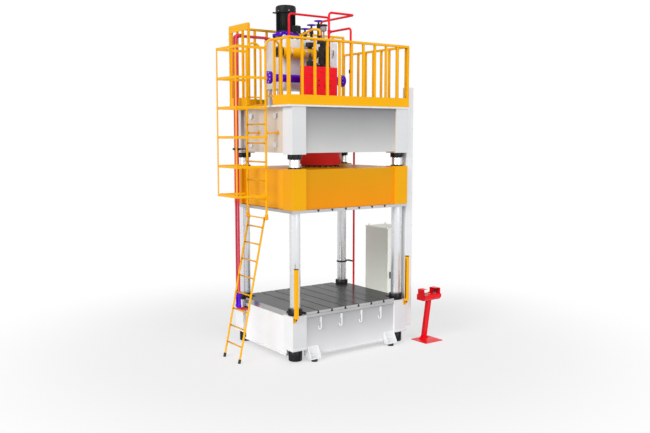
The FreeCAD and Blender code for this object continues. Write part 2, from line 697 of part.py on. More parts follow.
# ---- Oil tank, pump motor and what stands on the tank ------------------------------------------
TANK_X0 = -800.0
TANK_X1 = 490.0
TANK_Y0 = 80.0
TANK_Y1 = 760.0
TANK_Z0 = 4860.0
TANK_TOP = 5780.0
TANK_CORNER = 80.0
TANK_EDGE = 25.0
LEG = 70.0
LEG_INSET_X = 20.0           # the legs straddle the cylinder nut
LEG_INSET_Y = 115.0
PIPE_R = 21.0
PIPE_BEND = 60.0
PORT_BOSS_R = 36.0
PORT_BOSS = 10.0
MOTOR_X = -487.0
MOTOR_Y = 440.0
MOTOR_PLATE_R = 255.0
MOTOR_PLATE_Z = 5855.0
MOTOR_PLATE = 45.0
MOTOR_FEET_R = 218.0         # circle of the six feet under the motor plate
MOTOR_FOOT_R = 26.0
MOTOR_Z = 5935.0
MOTOR_TOP = 6425.0
MOTOR_R = 166.0
SHIELD_R = 186.0             # end shield at the foot of the motor
FIN = 18.0
FINS = 28
COWL_R = 192.0
COWL_Z = 6290.0
GRILLE_R = 158.0             # sunken mouth of the fan cowl
GRILLE_DEPTH = 18.0
EYE_Z = 6278.0
EYE_REACH = 285.0
FEED_X = 290.0               # the pressure line that drops through the deck
FEED_Y = -560.0
LOOP_Y = 120.0
LOOP_LEFT = -625.0
LOOP_TOP = 6240.0
FEED_Z = 5970.0
COUPLING_Z = 5150.0
VALVE_PIPE_X = -141.0
VALVE_PIPE_Y = -470.0
VALVE_PIPE_Z = 6226.0
RETURN_X = 430.0
RETURN_Y = 585.0
RISER_X = -1460.0
RISER_YS = (605.0, 695.0)
RISER_END = -772.0
RISER_Z = 5830.0
VALVES = ((-75.0, 6030.0), (75.0, 6115.0), (242.0, 6205.0))
VALVE_Y = 400.0
BREATHER_X = 262.0
BREATHER_Y = 260.0
BREATHER_CAN_Z = 5990.0
BREATHER_CAN_R = 60.0
BREATHER_CAP_Z = 6095.0
BREATHER_CAP_R = 78.0
PILOT_X = -370.0             # drain of the pilot valves, an arch back to the tank
PILOT_Y = -505.0


def tank_ports():
    """Where pipes and fittings stand on the tank's lid."""
    ports = [(LOOP_LEFT, LOOP_Y), (FEED_X, LOOP_Y), (RETURN_X, RETURN_Y), (BREATHER_X, BREATHER_Y),
             (PILOT_X, LOOP_Y)]
    ports += [(RISER_END, y) for y in RISER_YS]
    ports += [(x, VALVE_Y) for x, z in VALVES]
    return ports


def oil_tank():
    """Closed tank with rounded corners, a raised port for each pipe, and four legs."""
    body = box(TANK_X0, TANK_X1, TANK_Y0, TANK_Y1, TANK_Z0, TANK_TOP)
    upright = [e for e in body.Edges if abs(e.tangentAt(e.FirstParameter).z) > 0.9]
    body = body.makeFillet(TANK_CORNER, upright)
    rims = [e for e in body.Edges if e.BoundBox.ZLength < 1.0]
    body = body.makeFillet(TANK_EDGE, rims)
    pieces = [body]
    for x, y in tank_ports():
        pieces.append(disc(x, y, TANK_TOP - TANK_EDGE, TANK_TOP + PORT_BOSS, PORT_BOSS_R))
    legs = []
    for x in (TANK_X0 + LEG_INSET_X, TANK_X1 - LEG_INSET_X - LEG):
        for y in (TANK_Y0 + LEG_INSET_Y, TANK_Y1 - LEG_INSET_Y - LEG):
            legs.append(box(x, x + LEG, y, y + LEG, DECK_TOP, TANK_Z0))
    return [fuse(pieces)] + legs


def motor_feet():
    """Rubber-bonded mounts between the tank's lid and the motor plate."""
    feet = []
    for i in range(6):
        turn = math.radians(60.0 * i + 30.0)
        x = MOTOR_X + MOTOR_FEET_R * math.cos(turn)
        y = MOTOR_Y + MOTOR_FEET_R * math.sin(turn)
        feet.append(disc(x, y, TANK_TOP, MOTOR_PLATE_Z, MOTOR_FOOT_R))
    return feet


def motor_flange():
    """Mounting plate and waisted bell housing between the tank lid and the motor."""
    plate_top = MOTOR_PLATE_Z + MOTOR_PLATE
    waist = SHIELD_R - 35.0
    seat = MOTOR_Z - 15.0
    return turned(MOTOR_X, MOTOR_Y, [
        (0, MOTOR_PLATE_Z), (MOTOR_PLATE_R, MOTOR_PLATE_Z), (MOTOR_PLATE_R, plate_top),
        (SHIELD_R, plate_top), (waist, seat), (SHIELD_R, seat), (SHIELD_R, MOTOR_Z), (0, MOTOR_Z)])


def drive_motor():
    """Upright motor: end shield, ribbed housing and a fan cowl with a sunken mouth."""
    rib_bottom = MOTOR_Z + 35.0
    mouth = MOTOR_TOP - GRILLE_DEPTH
    housing = turned(MOTOR_X, MOTOR_Y, [
        (0, MOTOR_Z), (SHIELD_R, MOTOR_Z), (SHIELD_R, rib_bottom - 10), (MOTOR_R, rib_bottom),
        (MOTOR_R, COWL_Z), (COWL_R, COWL_Z), (COWL_R, MOTOR_TOP - 40), (COWL_R - 10, MOTOR_TOP - 12),
        (COWL_R - 32, MOTOR_TOP), (GRILLE_R, MOTOR_TOP), (GRILLE_R, mouth), (0, mouth)])
    pieces = [housing]
    for i in range(FINS):
        rib = box(MOTOR_R - 5, MOTOR_R + FIN, -3, 3, rib_bottom, COWL_Z)
        rib.rotate(at(0, 0, 0), UP, 360.0 / FINS * i)
        rib.translate(at(MOTOR_X, MOTOR_Y, 0))
        pieces.append(rib)
    eye = rod(at(MOTOR_X - MOTOR_R, MOTOR_Y, EYE_Z), at(MOTOR_X - EYE_REACH, MOTOR_Y, EYE_Z), 14)
    return fuse(pieces + [eye])


TERMINAL_TURN = -62.0        # from +X, so that the box faces the front
TERMINAL_Z = 5912.0
TERMINAL_DEPTH = 80.0
TERMINAL_H = 130.0
TERMINAL_HALF = 75.0
TERMINAL_LID = 12.0


def motor_terminal_box():
    """Box for the supply cable, saddled on the motor, with its lid and a cable gland."""
    y0 = MOTOR_Y - TERMINAL_HALF
    y1 = MOTOR_Y + TERMINAL_HALF
    x1 = MOTOR_X + SHIELD_R + TERMINAL_DEPTH
    z1 = TERMINAL_Z + TERMINAL_H
    lip = 6.0
    case = box(MOTOR_X + MOTOR_R - FIN, x1, y0, y1, TERMINAL_Z, z1)
    case = case.cut(disc(MOTOR_X, MOTOR_Y, TERMINAL_Z, z1, SHIELD_R))
    lid = box(x1, x1 + TERMINAL_LID, y0 - lip, y1 + lip, TERMINAL_Z - lip, z1 + lip)
    gland_x = x1 - TERMINAL_DEPTH / 2
    gland_z = TERMINAL_Z + TERMINAL_H / 2
    gland = rod(at(gland_x, y1, gland_z), at(gland_x, y1 + 45, gland_z), 18)
    whole = fuse([case, lid, gland])
    whole.rotate(at(MOTOR_X, MOTOR_Y, 0), UP, TERMINAL_TURN)
    return whole


COOLER_Y = -40.0
COOLER_Z = 5508.0
COOLER_R = 95.0
COOLER_X0 = -900.0
COOLER_X1 = -200.0
CAP_LEFT = 85.0
CAP_RIGHT = 60.0
PORT_NECK_R = 45.0
PORT_HEAD_R = 78.0
PORT_HEAD_Z = 135.0          # the head's foot above the cooler's axis
PORT_HEAD = 70.0
SADDLES = (-740.0, -420.0)
SADDLE = 40.0


def oil_cooler():
    """Shell of the tube cooler, with a rim at each end."""
    shell = rod(at(COOLER_X0, COOLER_Y, COOLER_Z), at(COOLER_X1, COOLER_Y, COOLER_Z), COOLER_R)
    rims = [rod(at(x, COOLER_Y, COOLER_Z), at(x + 22, COOLER_Y, COOLER_Z), COOLER_R + 12)
            for x in (COOLER_X0, COOLER_X1 - 22)]
    return fuse([shell] + rims)


def cooler_fittings():
    """End caps, oil port and the two saddles on the tank wall."""
    left_end = at(COOLER_X0, COOLER_Y, COOLER_Z)
    right_end = at(COOLER_X1, COOLER_Y, COOLER_Z)
    shell = rod(left_end, right_end, COOLER_R)
    cap_r = COOLER_R + 4
    caps = [rod(at(COOLER_X0 - CAP_LEFT, COOLER_Y, COOLER_Z), left_end, cap_r),
            rod(right_end, at(COOLER_X1 + CAP_RIGHT, COOLER_Y, COOLER_Z), cap_r)]
    head_bottom = COOLER_Z + PORT_HEAD_Z
    head_top = head_bottom + PORT_HEAD
    port = turned(COOLER_X1 - 70, COOLER_Y, [
        (0, COOLER_Z + COOLER_R - 6), (PORT_NECK_R, COOLER_Z + COOLER_R - 6), (PORT_NECK_R, head_bottom),
        (PORT_HEAD_R, head_bottom), (PORT_HEAD_R, head_top), (0, head_top)]).cut(shell)
    saddles = []
    for x in SADDLES:
        saddle = box(x, x + SADDLE, COOLER_Y, TANK_Y0, COOLER_Z - COOLER_R, COOLER_Z + COOLER_R)
        saddles.append(saddle.cut(shell))
    return caps + [port] + saddles


MANIFOLD_Y = -130.0
MANIFOLD_Z = 5035.0
MANIFOLD_R = 70.0
MANIFOLD_X0 = -1255.0
MANIFOLD_X1 = 432.0
FLANGE_R = 112.0
FLANGE_T = 30.0
DROP_R = 64.0
STUB_R = 45.0
TANK_STUBS = (-700.0, 280.0)


def suction_manifold():
    """Large low-pressure pipe with a blind flange at each end and a drop to the filling valve."""
    pipe = rod(at(MANIFOLD_X0, MANIFOLD_Y, MANIFOLD_Z), at(MANIFOLD_X1, MANIFOLD_Y, MANIFOLD_Z), MANIFOLD_R)
    pieces = [pipe]
    for x in (MANIFOLD_X0, MANIFOLD_X0 + FLANGE_T + 4, MANIFOLD_X1 - 2 * FLANGE_T - 4,
              MANIFOLD_X1 - FLANGE_T):
        pieces.append(rod(at(x, MANIFOLD_Y, MANIFOLD_Z), at(x + FLANGE_T, MANIFOLD_Y, MANIFOLD_Z), FLANGE_R))
    pieces.append(disc(0, 0, PREFILL_TOP, MANIFOLD_Z, DROP_R))
    pieces.append(disc(0, 0, PREFILL_TOP, PREFILL_TOP + FLANGE_T, PREFILL_HEAD_R - 5))
    pieces.append(rod(at(0, MANIFOLD_Y, MANIFOLD_Z), at(0, 0, MANIFOLD_Z), DROP_R))
    pieces.append(Part.makeSphere(DROP_R, at(0, 0, MANIFOLD_Z)))
    for x in TANK_STUBS:
        pieces.append(rod(at(x, MANIFOLD_Y, MANIFOLD_Z), at(x, TANK_Y0, MANIFOLD_Z), STUB_R))
    return fuse(pieces)


BLOCK_X0 = -760.0
BLOCK_X1 = -55.0
BLOCK_Y0 = -615.0
BLOCK_Y1 = -435.0
BLOCK_Z0 = 4650.0
BLOCK_Z1 = 5230.0
BLOCK_PORTS = (-640.0, -500.0, -250.0)
BLOCK_PORT_R = 26.0
BLOCK_PORT_DEPTH = 30.0
BLOCK_PORT_Z = 4860.0


def valve_block():
    """Forged steel manifold that holds the cartridge valves."""
    body = box(BLOCK_X0, BLOCK_X1, BLOCK_Y0, BLOCK_Y1, BLOCK_Z0, BLOCK_Z1)
    body = body.makeChamfer(5.0, body.Edges)
    floor_y = BLOCK_Y1 - BLOCK_PORT_DEPTH
    ports = [rod(at(x, floor_y, BLOCK_PORT_Z), at(x, BLOCK_Y1, BLOCK_PORT_Z), BLOCK_PORT_R)
             for x in BLOCK_PORTS]
    return body.cut(Part.makeCompound(ports))


STACK_Y = -505.0             # centre line of the pilot valves
STACK_X = -275.0             # tall stack of valves
STACK_NECK_Z = 5600.0
STACK_HEAD_Z = 5645.0
STACK_TOP = 5745.0
SMALL_X = -585.0
COVER_X = -465.0


def valve_body(x, half_x, half_y, z0, z1):
    """Square valve body centred on the line of the pilot valves."""
    return box(x - half_x, x + half_x, STACK_Y - half_y, STACK_Y + half_y, z0, z1)


def valve_stack():
    """Pilot valves bolted on top of the block."""
    tall = fuse([valve_body(STACK_X, 85, 65, BLOCK_Z1, STACK_NECK_Z),
                 valve_body(STACK_X, 65, 45, STACK_NECK_Z, STACK_HEAD_Z),
                 valve_body(STACK_X - 35, 85, 55, STACK_HEAD_Z, STACK_TOP)])
    small_top = BLOCK_Z1 + 100
    small = fuse([valve_body(SMALL_X, 40, 55, BLOCK_Z1, small_top),
                  disc(SMALL_X, STACK_Y, small_top, small_top + 75, 32)])
    cover_top = BLOCK_Z1 + 45
    cover = fuse([valve_body(COVER_X, 55, 65, BLOCK_Z1, cover_top),
                  disc(COVER_X, STACK_Y, cover_top, cover_top + 25, 40)])
    return [tall, small, cover]


def pilot_pipe():
    """Drain line that arches from the pilot valves back to the tank lid."""
    lid = TANK_TOP + PORT_BOSS
    crest_y = (PILOT_Y + LOOP_Y) / 2 - 90.0
    return bent_pipe([at(PILOT_X, LOOP_Y, lid), at(PILOT_X, LOOP_Y, lid + 60),
                      at(PILOT_X, crest_y, lid + 140), at(PILOT_X, PILOT_Y, lid + 105),
                      at(PILOT_X, PILOT_Y, STACK_TOP)], PIPE_R, 45.0)


def block_stand():
    """Low table that carries the valve block over the crown."""
    leg = 60.0
    plate = 20.0
    under = BLOCK_Z0 - plate
    legs = []
    for x in (BLOCK_X0 + 20, BLOCK_X1 - 20 - leg):
        for y in (BLOCK_Y0 + 10, BLOCK_Y1 - 10 - leg):
            legs.append(box(x, x + leg, y, y + leg, DECK_TOP, under))
    top = box(BLOCK_X0 - 20, BLOCK_X1 + 20, BLOCK_Y0 - 10, BLOCK_Y1 + 10, under, BLOCK_Z0)
    return fuse(legs + [top])


def tank_pipe():
    """Loop over the tank with the branch that feeds the cylinder through the deck."""
    lid = TANK_TOP + PORT_BOSS
    loop = bent_pipe([at(LOOP_LEFT, LOOP_Y, lid), at(LOOP_LEFT, LOOP_Y, LOOP_TOP),
                      at(FEED_X, LOOP_Y, LOOP_TOP), at(FEED_X, LOOP_Y, lid)], PIPE_R, PIPE_BEND)
    tee = disc(FEED_X, LOOP_Y, FEED_Z - 2 * PIPE_R, FEED_Z + 2 * PIPE_R, PIPE_R + 9)
    outlet = rod(at(FEED_X, LOOP_Y, FEED_Z), at(FEED_X, LOOP_Y - 3 * PIPE_R, FEED_Z), PIPE_R + 6)
    branch = bent_pipe([at(FEED_X, LOOP_Y - PIPE_R, FEED_Z), at(FEED_X, FEED_Y, FEED_Z),
                        at(FEED_X, FEED_Y, CROWN_TOP)], PIPE_R, PIPE_BEND)
    coupling = disc(FEED_X, FEED_Y, COUPLING_Z, COUPLING_Z + 3 * PIPE_R, PIPE_R + 13)
    return fuse([loop, tee, outlet, branch, coupling])


def valve_pipe():
    """Return line from the valve block across the platform and into the tank."""
    points = [at(VALVE_PIPE_X, VALVE_PIPE_Y, BLOCK_Z1), at(VALVE_PIPE_X, VALVE_PIPE_Y, VALVE_PIPE_Z),
              at(RETURN_X, VALVE_PIPE_Y, VALVE_PIPE_Z), at(RETURN_X, RETURN_Y, VALVE_PIPE_Z),
              at(RETURN_X, RETURN_Y, TANK_TOP + PORT_BOSS)]
    collar = disc(VALVE_PIPE_X, VALVE_PIPE_Y, BLOCK_Z1, BLOCK_Z1 + 2 * PIPE_R, PIPE_R + 9)
    return fuse([bent_pipe(points, PIPE_R, PIPE_BEND), collar])


RISER_FOOT = 700.0
SLEEVE_Z0 = 745.0
SLEEVE_Z1 = 1015.0
SLEEVE_R = 34.0
SLEEVE_WAIST = 27.0


def riser_pipes():
    """Pair of lines from the tank down the left side into the bed."""
    pipes = []
    for y in RISER_YS:
        pipe = bent_pipe([at(-PANEL_X, y, RISER_FOOT), at(RISER_X, y, RISER_FOOT), at(RISER_X, y, RISER_Z),
                          at(RISER_END, y, RISER_Z), at(RISER_END, y, TANK_TOP + PORT_BOSS)], PIPE_R, 38.0)
        sleeve = turned(RISER_X, y, [
            (0, SLEEVE_Z0), (SLEEVE_R, SLEEVE_Z0), (SLEEVE_R, SLEEVE_Z0 + 50),
            (SLEEVE_WAIST, SLEEVE_Z0 + 60), (SLEEVE_WAIST, SLEEVE_Z1 - 60),
            (SLEEVE_R, SLEEVE_Z1 - 50), (SLEEVE_R, SLEEVE_Z1), (0, SLEEVE_Z1)])
        union = rod(at(RISER_X + 42, y, RISER_Z), at(RISER_X + 70, y, RISER_Z), SLEEVE_R + 4)
        pipes.append(fuse([pipe, sleeve, union]))
    return pipes


SIDE_PIPE_X = 1352.0
SIDE_PIPE_Y = 690.0
SIDE_PIPE_TOP = 4250.0
SIDE_PIPE_FOOT = 690.0


def side_pipe():
    """Line from the crown down the right side into the bed."""
    points = [at(PANEL_X, SIDE_PIPE_Y, SIDE_PIPE_TOP), at(SIDE_PIPE_X, SIDE_PIPE_Y, SIDE_PIPE_TOP),
              at(SIDE_PIPE_X, SIDE_PIPE_Y, SIDE_PIPE_FOOT), at(PANEL_X, SIDE_PIPE_Y, SIDE_PIPE_FOOT)]
    return bent_pipe(points, PIPE_R, 50.0)


CLAMP_HALF = 34.0
CLAMP_H = 38.0
CLAMP_HEIGHTS = (4505.0, 3730.0)
STRAP_Z = 1340.0
STRAP_H = 30.0


def riser_clamp(z, wall_x):
    """Clamp block on the riser pair, with its arm back to a wall."""
    middle = (RISER_YS[0] + RISER_YS[1]) / 2
    block = box(RISER_X - CLAMP_HALF, RISER_X + CLAMP_HALF,
                RISER_YS[0] - 45, RISER_YS[1] + 45, z, z + CLAMP_H)
    arm = box(RISER_X + CLAMP_HALF, wall_x, middle - 20, middle + 20, z + 8, z + CLAMP_H - 8)
    pipes = [disc(RISER_X, y, z, z + CLAMP_H, PIPE_R) for y in RISER_YS]
    return fuse([block, arm]).cut(Part.makeCompound(pipes))


def pipe_clamps():
    """Clamps of the risers, and the strap that ties the side pipe to its column."""
    top = STRAP_Z + STRAP_H
    half = 12.0
    band = ring(COLUMN_X, COLUMN_Y, STRAP_Z, top, COLUMN_R + 10, COLUMN_R)
    arm = box(COLUMN_X + COLUMN_R + 4, SIDE_PIPE_X + half, COLUMN_Y - half, COLUMN_Y + half, STRAP_Z, top)
    hand = box(SIDE_PIPE_X - half, SIDE_PIPE_X + half, SIDE_PIPE_Y + PIPE_R, COLUMN_Y, STRAP_Z, top)
    walls = (PLATFORM_LEFT, -PANEL_X)
    return [riser_clamp(z, wall) for z, wall in zip(CLAMP_HEIGHTS, walls)] + [fuse([band, arm, hand])]


WHEEL_R = 82.0
WHEEL_RIM_R = 9.0
WHEEL_HUB_R = 22.0
WHEEL_HUB_H = 26.0
STEM_R = 9.0
SPOKES = 5
STANDPIPE_R = 26.0
VALVE_FLANGE_R = 46.0
VALVE_BODY_R = 36.0
VALVE_BELOW_WHEEL = 150.0


def shutoff_valves():
    """Gate valves on standpipes on the tank's lid; the wheels turn on their stems."""
    valves = []
    lid = TANK_TOP + PORT_BOSS
    for x, wheel_z in VALVES:
        foot_top = lid + 16.0
        body = wheel_z - VALVE_BELOW_WHEEL
        bonnet = body + 70.0
        seat = wheel_z - WHEEL_HUB_H - 1
        valves.append(turned(x, VALVE_Y, [
            (0, lid), (VALVE_FLANGE_R + 4, lid), (VALVE_FLANGE_R + 4, foot_top), (STANDPIPE_R, foot_top),
            (STANDPIPE_R, body - 12), (VALVE_FLANGE_R, body - 12), (VALVE_FLANGE_R, body),
            (VALVE_BODY_R, body + 12), (VALVE_BODY_R, bonnet - 12), (VALVE_FLANGE_R, bonnet),
            (VALVE_FLANGE_R, bonnet + 14), (20, bonnet + 26), (16, seat), (STEM_R, seat),
            (STEM_R, wheel_z + 14), (0, wheel_z + 14)]))
    return valves


def handwheel(x, z):
    """Five-spoked wheel with a round rim; its hub runs on the valve's stem."""
    rim = Part.makeTorus(WHEEL_R, WHEEL_RIM_R, at(x, VALVE_Y, z), UP)
    hub = disc(x, VALVE_Y, z - WHEEL_HUB_H, z + 6, WHEEL_HUB_R)
    pieces = [rim, hub]
    for i in range(SPOKES):
        turn = 2 * math.pi * i / SPOKES
        tip = at(x + WHEEL_R * math.cos(turn), VALVE_Y + WHEEL_R * math.sin(turn), z)
        pieces.append(rod(at(x, VALVE_Y, z - 8), tip, 6))
    return fuse(pieces).cut(disc(x, VALVE_Y, z - WHEEL_HUB_H, z + 30, STEM_R + RUN_FIT))


def breather():
    """Air filter of the tank on its standpipe."""
    lid = TANK_TOP + PORT_BOSS
    can = BREATHER_CAN_Z
    cap = BREATHER_CAP_Z
    return turned(BREATHER_X, BREATHER_Y, [
        (0, lid), (18, lid), (18, can), (30, can), (BREATHER_CAN_R, can + 15),
        (BREATHER_CAN_R, cap - 20), (BREATHER_CAN_R - 12, cap - 10), (BREATHER_CAN_R - 12, cap),
        (BREATHER_CAP_R, cap), (BREATHER_CAP_R, cap + 17), (BREATHER_CAP_R - 18, cap + 30), (0, cap + 30)])


# ---- Guards and ducts on the press --------------------------------------------------------------
POST = 60.0
POST_X = 1280.0
POST_Y = -1075.0
POST_Z0 = 835.0
POST_Z1 = 1690.0


def light_curtains():
    """Posts of the light curtain, on brackets at the front of the bed."""
    posts = []
    for sx in SIDES:
        x = sx * POST_X
        post = box(x - POST / 2, x + POST / 2, POST_Y - POST / 2, POST_Y + POST / 2, POST_Z0, POST_Z1)
        groove = box(x - sx * POST / 2, x - sx * (POST / 2 - 8), POST_Y - 14, POST_Y + 14,
                     POST_Z0 + 40, POST_Z1 - 40)
        half = POST / 2 + 6
        shelf = box(x - half, x + half, POST_Y - POST / 2, -EDGE_Y, POST_Z0 - 14, POST_Z0)
        flange = box(x - half, x + half, -EDGE_Y - 12, -EDGE_Y, POST_Z0 - 95, POST_Z0 - 14)
        posts.append(fuse([post.cut(groove), shelf, flange]))
    return posts


DUCT = (1335.0, 1500.0, -965.0, -840.0, 290.0, 4905.0)
DUCT_BRACKETS = (420.0, 700.0, 3780.0, 4330.0)


def cable_duct():
    """Square cable trunk with its lid lip and four wall brackets."""
    x0, x1, y0, y1, z0, z1 = DUCT
    lid_face = y0 + 6.0
    middle = (y0 + y1) / 2
    pieces = [box(x0, x1, lid_face, y1, z0, z1), box(x0 + 8, x1 - 8, y0, lid_face, z0 + 8, z1 - 8)]
    for z in DUCT_BRACKETS:
        pieces.append(box(EDGE_X, x0, middle - 25, middle + 25, z, z + 60))
    return fuse(pieces)


# ---- Control cabinet ------------------------------------------------------------------------------
CAB_X0 = 1750.0
CAB_X1 = 2300.0
CAB_Y0 = 80.0
CAB_Y1 = 780.0
CAB_TOP = 2070.0
CAB_PLINTH = 100.0
SHEET = 8.0
DOOR_LIP = 30.0              # frame round the door opening
DOOR_T = 22.0
DOOR_GAP = 3.0
HINGE_R = 9.0
HINGE_PIN_R = 5.0
HINGE_HEIGHTS = (400.0, 1085.0, 1770.0)
KNUCKLE = 30.0


def cabinet_body():
    """Sheet-steel cabinet on a plinth: panels, door frame, mounting plate on studs, hinge halves."""
    x0 = CAB_X0 + SHEET
    x1 = CAB_X1 - SHEET
    y1 = CAB_Y1 - SHEET
    low = CAB_PLINTH + SHEET
    high = CAB_TOP - SHEET
    sides = [box(a, b, CAB_Y0, CAB_Y1, CAB_PLINTH, CAB_TOP) for a, b in ((CAB_X0, x0), (x1, CAB_X1))]
    back = box(x0, x1, y1, CAB_Y1, CAB_PLINTH, CAB_TOP)
    ends = [box(x0, x1, CAB_Y0, y1, a, b) for a, b in ((CAB_PLINTH, low), (high, CAB_TOP))]
    stiles = [box(a, b, CAB_Y0, CAB_Y0 + SHEET, low, high)
              for a, b in ((x0, CAB_X0 + DOOR_LIP), (CAB_X1 - DOOR_LIP, x1))]
    rails = [box(CAB_X0 + DOOR_LIP, CAB_X1 - DOOR_LIP, CAB_Y0, CAB_Y0 + SHEET, a, b)
             for a, b in ((low, CAB_PLINTH + DOOR_LIP), (CAB_TOP - DOOR_LIP, high))]
    plinth = box(CAB_X0 + 15, CAB_X1 - 15, CAB_Y0 + 15, CAB_Y1 - 15, 0, CAB_PLINTH)
    rain_roof = box(CAB_X0 - 8, CAB_X1 + 8, CAB_Y0 - 4, CAB_Y1 + 8, CAB_TOP, CAB_TOP + 14)
    plate = box(CAB_X0 + 40, CAB_X1 - 40, CAB_Y1 - 60, CAB_Y1 - 50, CAB_PLINTH + 60, CAB_TOP - 60)
    studs = [rod(at(x, CAB_Y1 - 50, z), at(x, y1, z), 8)
             for x in (CAB_X0 + 70, CAB_X1 - 70) for z in (CAB_PLINTH + 120, CAB_TOP - 120)]
    knuckles = []
    for z in HINGE_HEIGHTS:
        hinge_leaf = box(CAB_X1, CAB_X1 + HINGE_R, DOOR_HINGE_Y, CAB_Y0 + 40, z - KNUCKLE, z)
        barrel = disc(CAB_X1 + HINGE_R, DOOR_HINGE_Y, z - KNUCKLE, z, HINGE_R)
        pin = disc(CAB_X1 + HINGE_R, DOOR_HINGE_Y, z, z + KNUCKLE - 2, HINGE_PIN_R)
        knuckles.append(fuse([hinge_leaf, barrel, pin]))
    return sides + [back] + ends + stiles + rails + [plinth, rain_roof, plate] + studs + knuckles


DOOR_HINGE_Y = CAB_Y0 - DOOR_GAP - HINGE_R
DOOR_Y1 = CAB_Y0 - DOOR_GAP
DOOR_Y0 = DOOR_Y1 - DOOR_T
HANDLE_DOOR_X = CAB_X0 + 60.0
HANDLE_DOOR_Z = 1150.0
HANDLE_PIN_R = 10.0


def cabinet_door():
    """Door sheet on a stiffening frame, with its hinge barrels and the boss of the swing handle."""
    x0 = CAB_X0 + 2
    x1 = CAB_X1 - 2
    z0 = CAB_PLINTH + 4
    z1 = CAB_TOP - 4
    sheet_back = DOOR_Y0 + 3
    bar = 26.0
    sheet = box(x0, x1, DOOR_Y0, sheet_back, z0, z1)
    stiles = [box(a, b, sheet_back, DOOR_Y1, z0, z1) for a, b in ((x0, x0 + bar), (x1 - bar, x1))]
    rails = [box(x0 + bar, x1 - bar, sheet_back, DOOR_Y1, a, b)
             for a, b in ((z0, z0 + bar), (z1 - bar, z1))]
    pivot_x = CAB_X1 + HINGE_R
    halves = []
    for z in HINGE_HEIGHTS:
        bottom = z + 1
        top = z + KNUCKLE - 1
        barrel = disc(pivot_x, DOOR_HINGE_Y, bottom, top, HINGE_R)
        leaf = box(x1, pivot_x, DOOR_HINGE_Y - 3, DOOR_HINGE_Y + 3, bottom, top)
        pin = disc(pivot_x, DOOR_HINGE_Y, z, z + KNUCKLE, HINGE_PIN_R + RUN_FIT)
        halves.append(fuse([barrel, leaf]).cut(pin))
    escutcheon = box(HANDLE_DOOR_X - 22, HANDLE_DOOR_X + 22, DOOR_Y0 - 6, DOOR_Y0,
                     HANDLE_DOOR_Z - 130, HANDLE_DOOR_Z + 40)
    boss = rod(at(HANDLE_DOOR_X, DOOR_Y0 - 6, HANDLE_DOOR_Z), at(HANDLE_DOOR_X, DOOR_Y0 - 22, HANDLE_DOOR_Z),
               HANDLE_PIN_R)
    return [sheet] + stiles + rails + halves + [fuse([escutcheon, boss])]


def door_handle():
    """Lever that turns a quarter on its boss."""
    y0 = DOOR_Y0 - 26
    y1 = DOOR_Y0 - 8
    hub = rod(at(HANDLE_DOOR_X, y0, HANDLE_DOOR_Z), at(HANDLE_DOOR_X, y1, HANDLE_DOOR_Z), 20)
    lever = box(HANDLE_DOOR_X - 12, HANDLE_DOOR_X + 12, y0, y1, HANDLE_DOOR_Z - 120, HANDLE_DOOR_Z)
    bore = rod(at(HANDLE_DOOR_X, DOOR_Y0 - 22.5, HANDLE_DOOR_Z), at(HANDLE_DOOR_X, y1, HANDLE_DOOR_Z),
               HANDLE_PIN_R + RUN_FIT)
    return fuse([hub, lever]).cut(bore)


# ---- Two-hand pedestal ------------------------------------------------------------------------------
PED_X = 1745.0
PED_BASE = (1505.0, 1955.0, -1392.0, -967.0)
PED_PLATE = 12.0
PED_FOOT_Y = -1070.0
PED_HEAD_Y = -1195.0
PED_W = 100.0
PED_D = 64.0
HEAD_HALF_X = 212.0
HEAD_HALF_Y = 122.0
HEAD_Z0 = 815.0
HEAD_Z1 = 925.0
HEAD_Y = -1208.0
COWL_TOP = 1035.0
COWL_W = 118.0
COWL_T = 5.0
PALM_R = 33.0
PALM_TRAVEL = 8.0
BUTTON_STEM_R = 14.0
ESTOP_R = 22.0


def pedestal_post():
    x0, x1, y0, y1 = PED_BASE
    base = box(x0, x1, y0, y1, 0, PED_PLATE)
    gusset_side = 80.0
    lower = [at(PED_X - PED_W / 2, PED_FOOT_Y - PED_D / 2, PED_PLATE),
             at(PED_X + PED_W / 2, PED_FOOT_Y - PED_D / 2, PED_PLATE),
             at(PED_X + PED_W / 2, PED_FOOT_Y + PED_D / 2, PED_PLATE),
             at(PED_X - PED_W / 2, PED_FOOT_Y + PED_D / 2, PED_PLATE)]
    lower.append(lower[0])
    lean = at(0, PED_HEAD_Y - PED_FOOT_Y, HEAD_Z0 - PED_PLATE)
    post = Part.Face(Part.makePolygon(lower)).extrude(lean)
    ribs = []
    for sx in SIDES:
        x = PED_X + sx * PED_W / 2
        gusset = [at(x, PED_FOOT_Y, PED_PLATE), at(x + sx * gusset_side, PED_FOOT_Y, PED_PLATE),
                  at(x, PED_FOOT_Y, PED_PLATE + gusset_side)]
        gusset.append(gusset[0])
        ribs.append(Part.Face(Part.makePolygon(gusset)).extrude(at(0, 8, 0)))
    holes = [disc(x, y, 0, PED_PLATE, 7) for x in (x0 + 35, x1 - 35) for y in (y0 + 35, y1 - 35)]
    return fuse([base, post] + ribs).cut(Part.makeCompound(holes))


def palm_cowl(side):
    """Bent guard over a palm button: open towards the operator and the middle."""
    outer = PED_X + side * HEAD_HALF_X
    inner = outer - side * COWL_W
    y0 = HEAD_Y - HEAD_HALF_Y + 30
    y1 = HEAD_Y + HEAD_HALF_Y - 30
    wall = box(outer, outer - side * COWL_T, y0, y1, HEAD_Z1, COWL_TOP)
    roof = box(outer, inner, y0 + 35, y1, COWL_TOP - COWL_T, COWL_TOP)
    rear = box(outer, inner, y1 - COWL_T, y1, HEAD_Z1, COWL_TOP)
    return fuse([wall, roof, rear])


def button_places():
    offset = HEAD_HALF_X - COWL_W / 2 - 4
    return {"palm_button_left": (PED_X - offset, PALM_R), "emergency_stop": (PED_X, ESTOP_R),
            "palm_button_right": (PED_X + offset, PALM_R)}


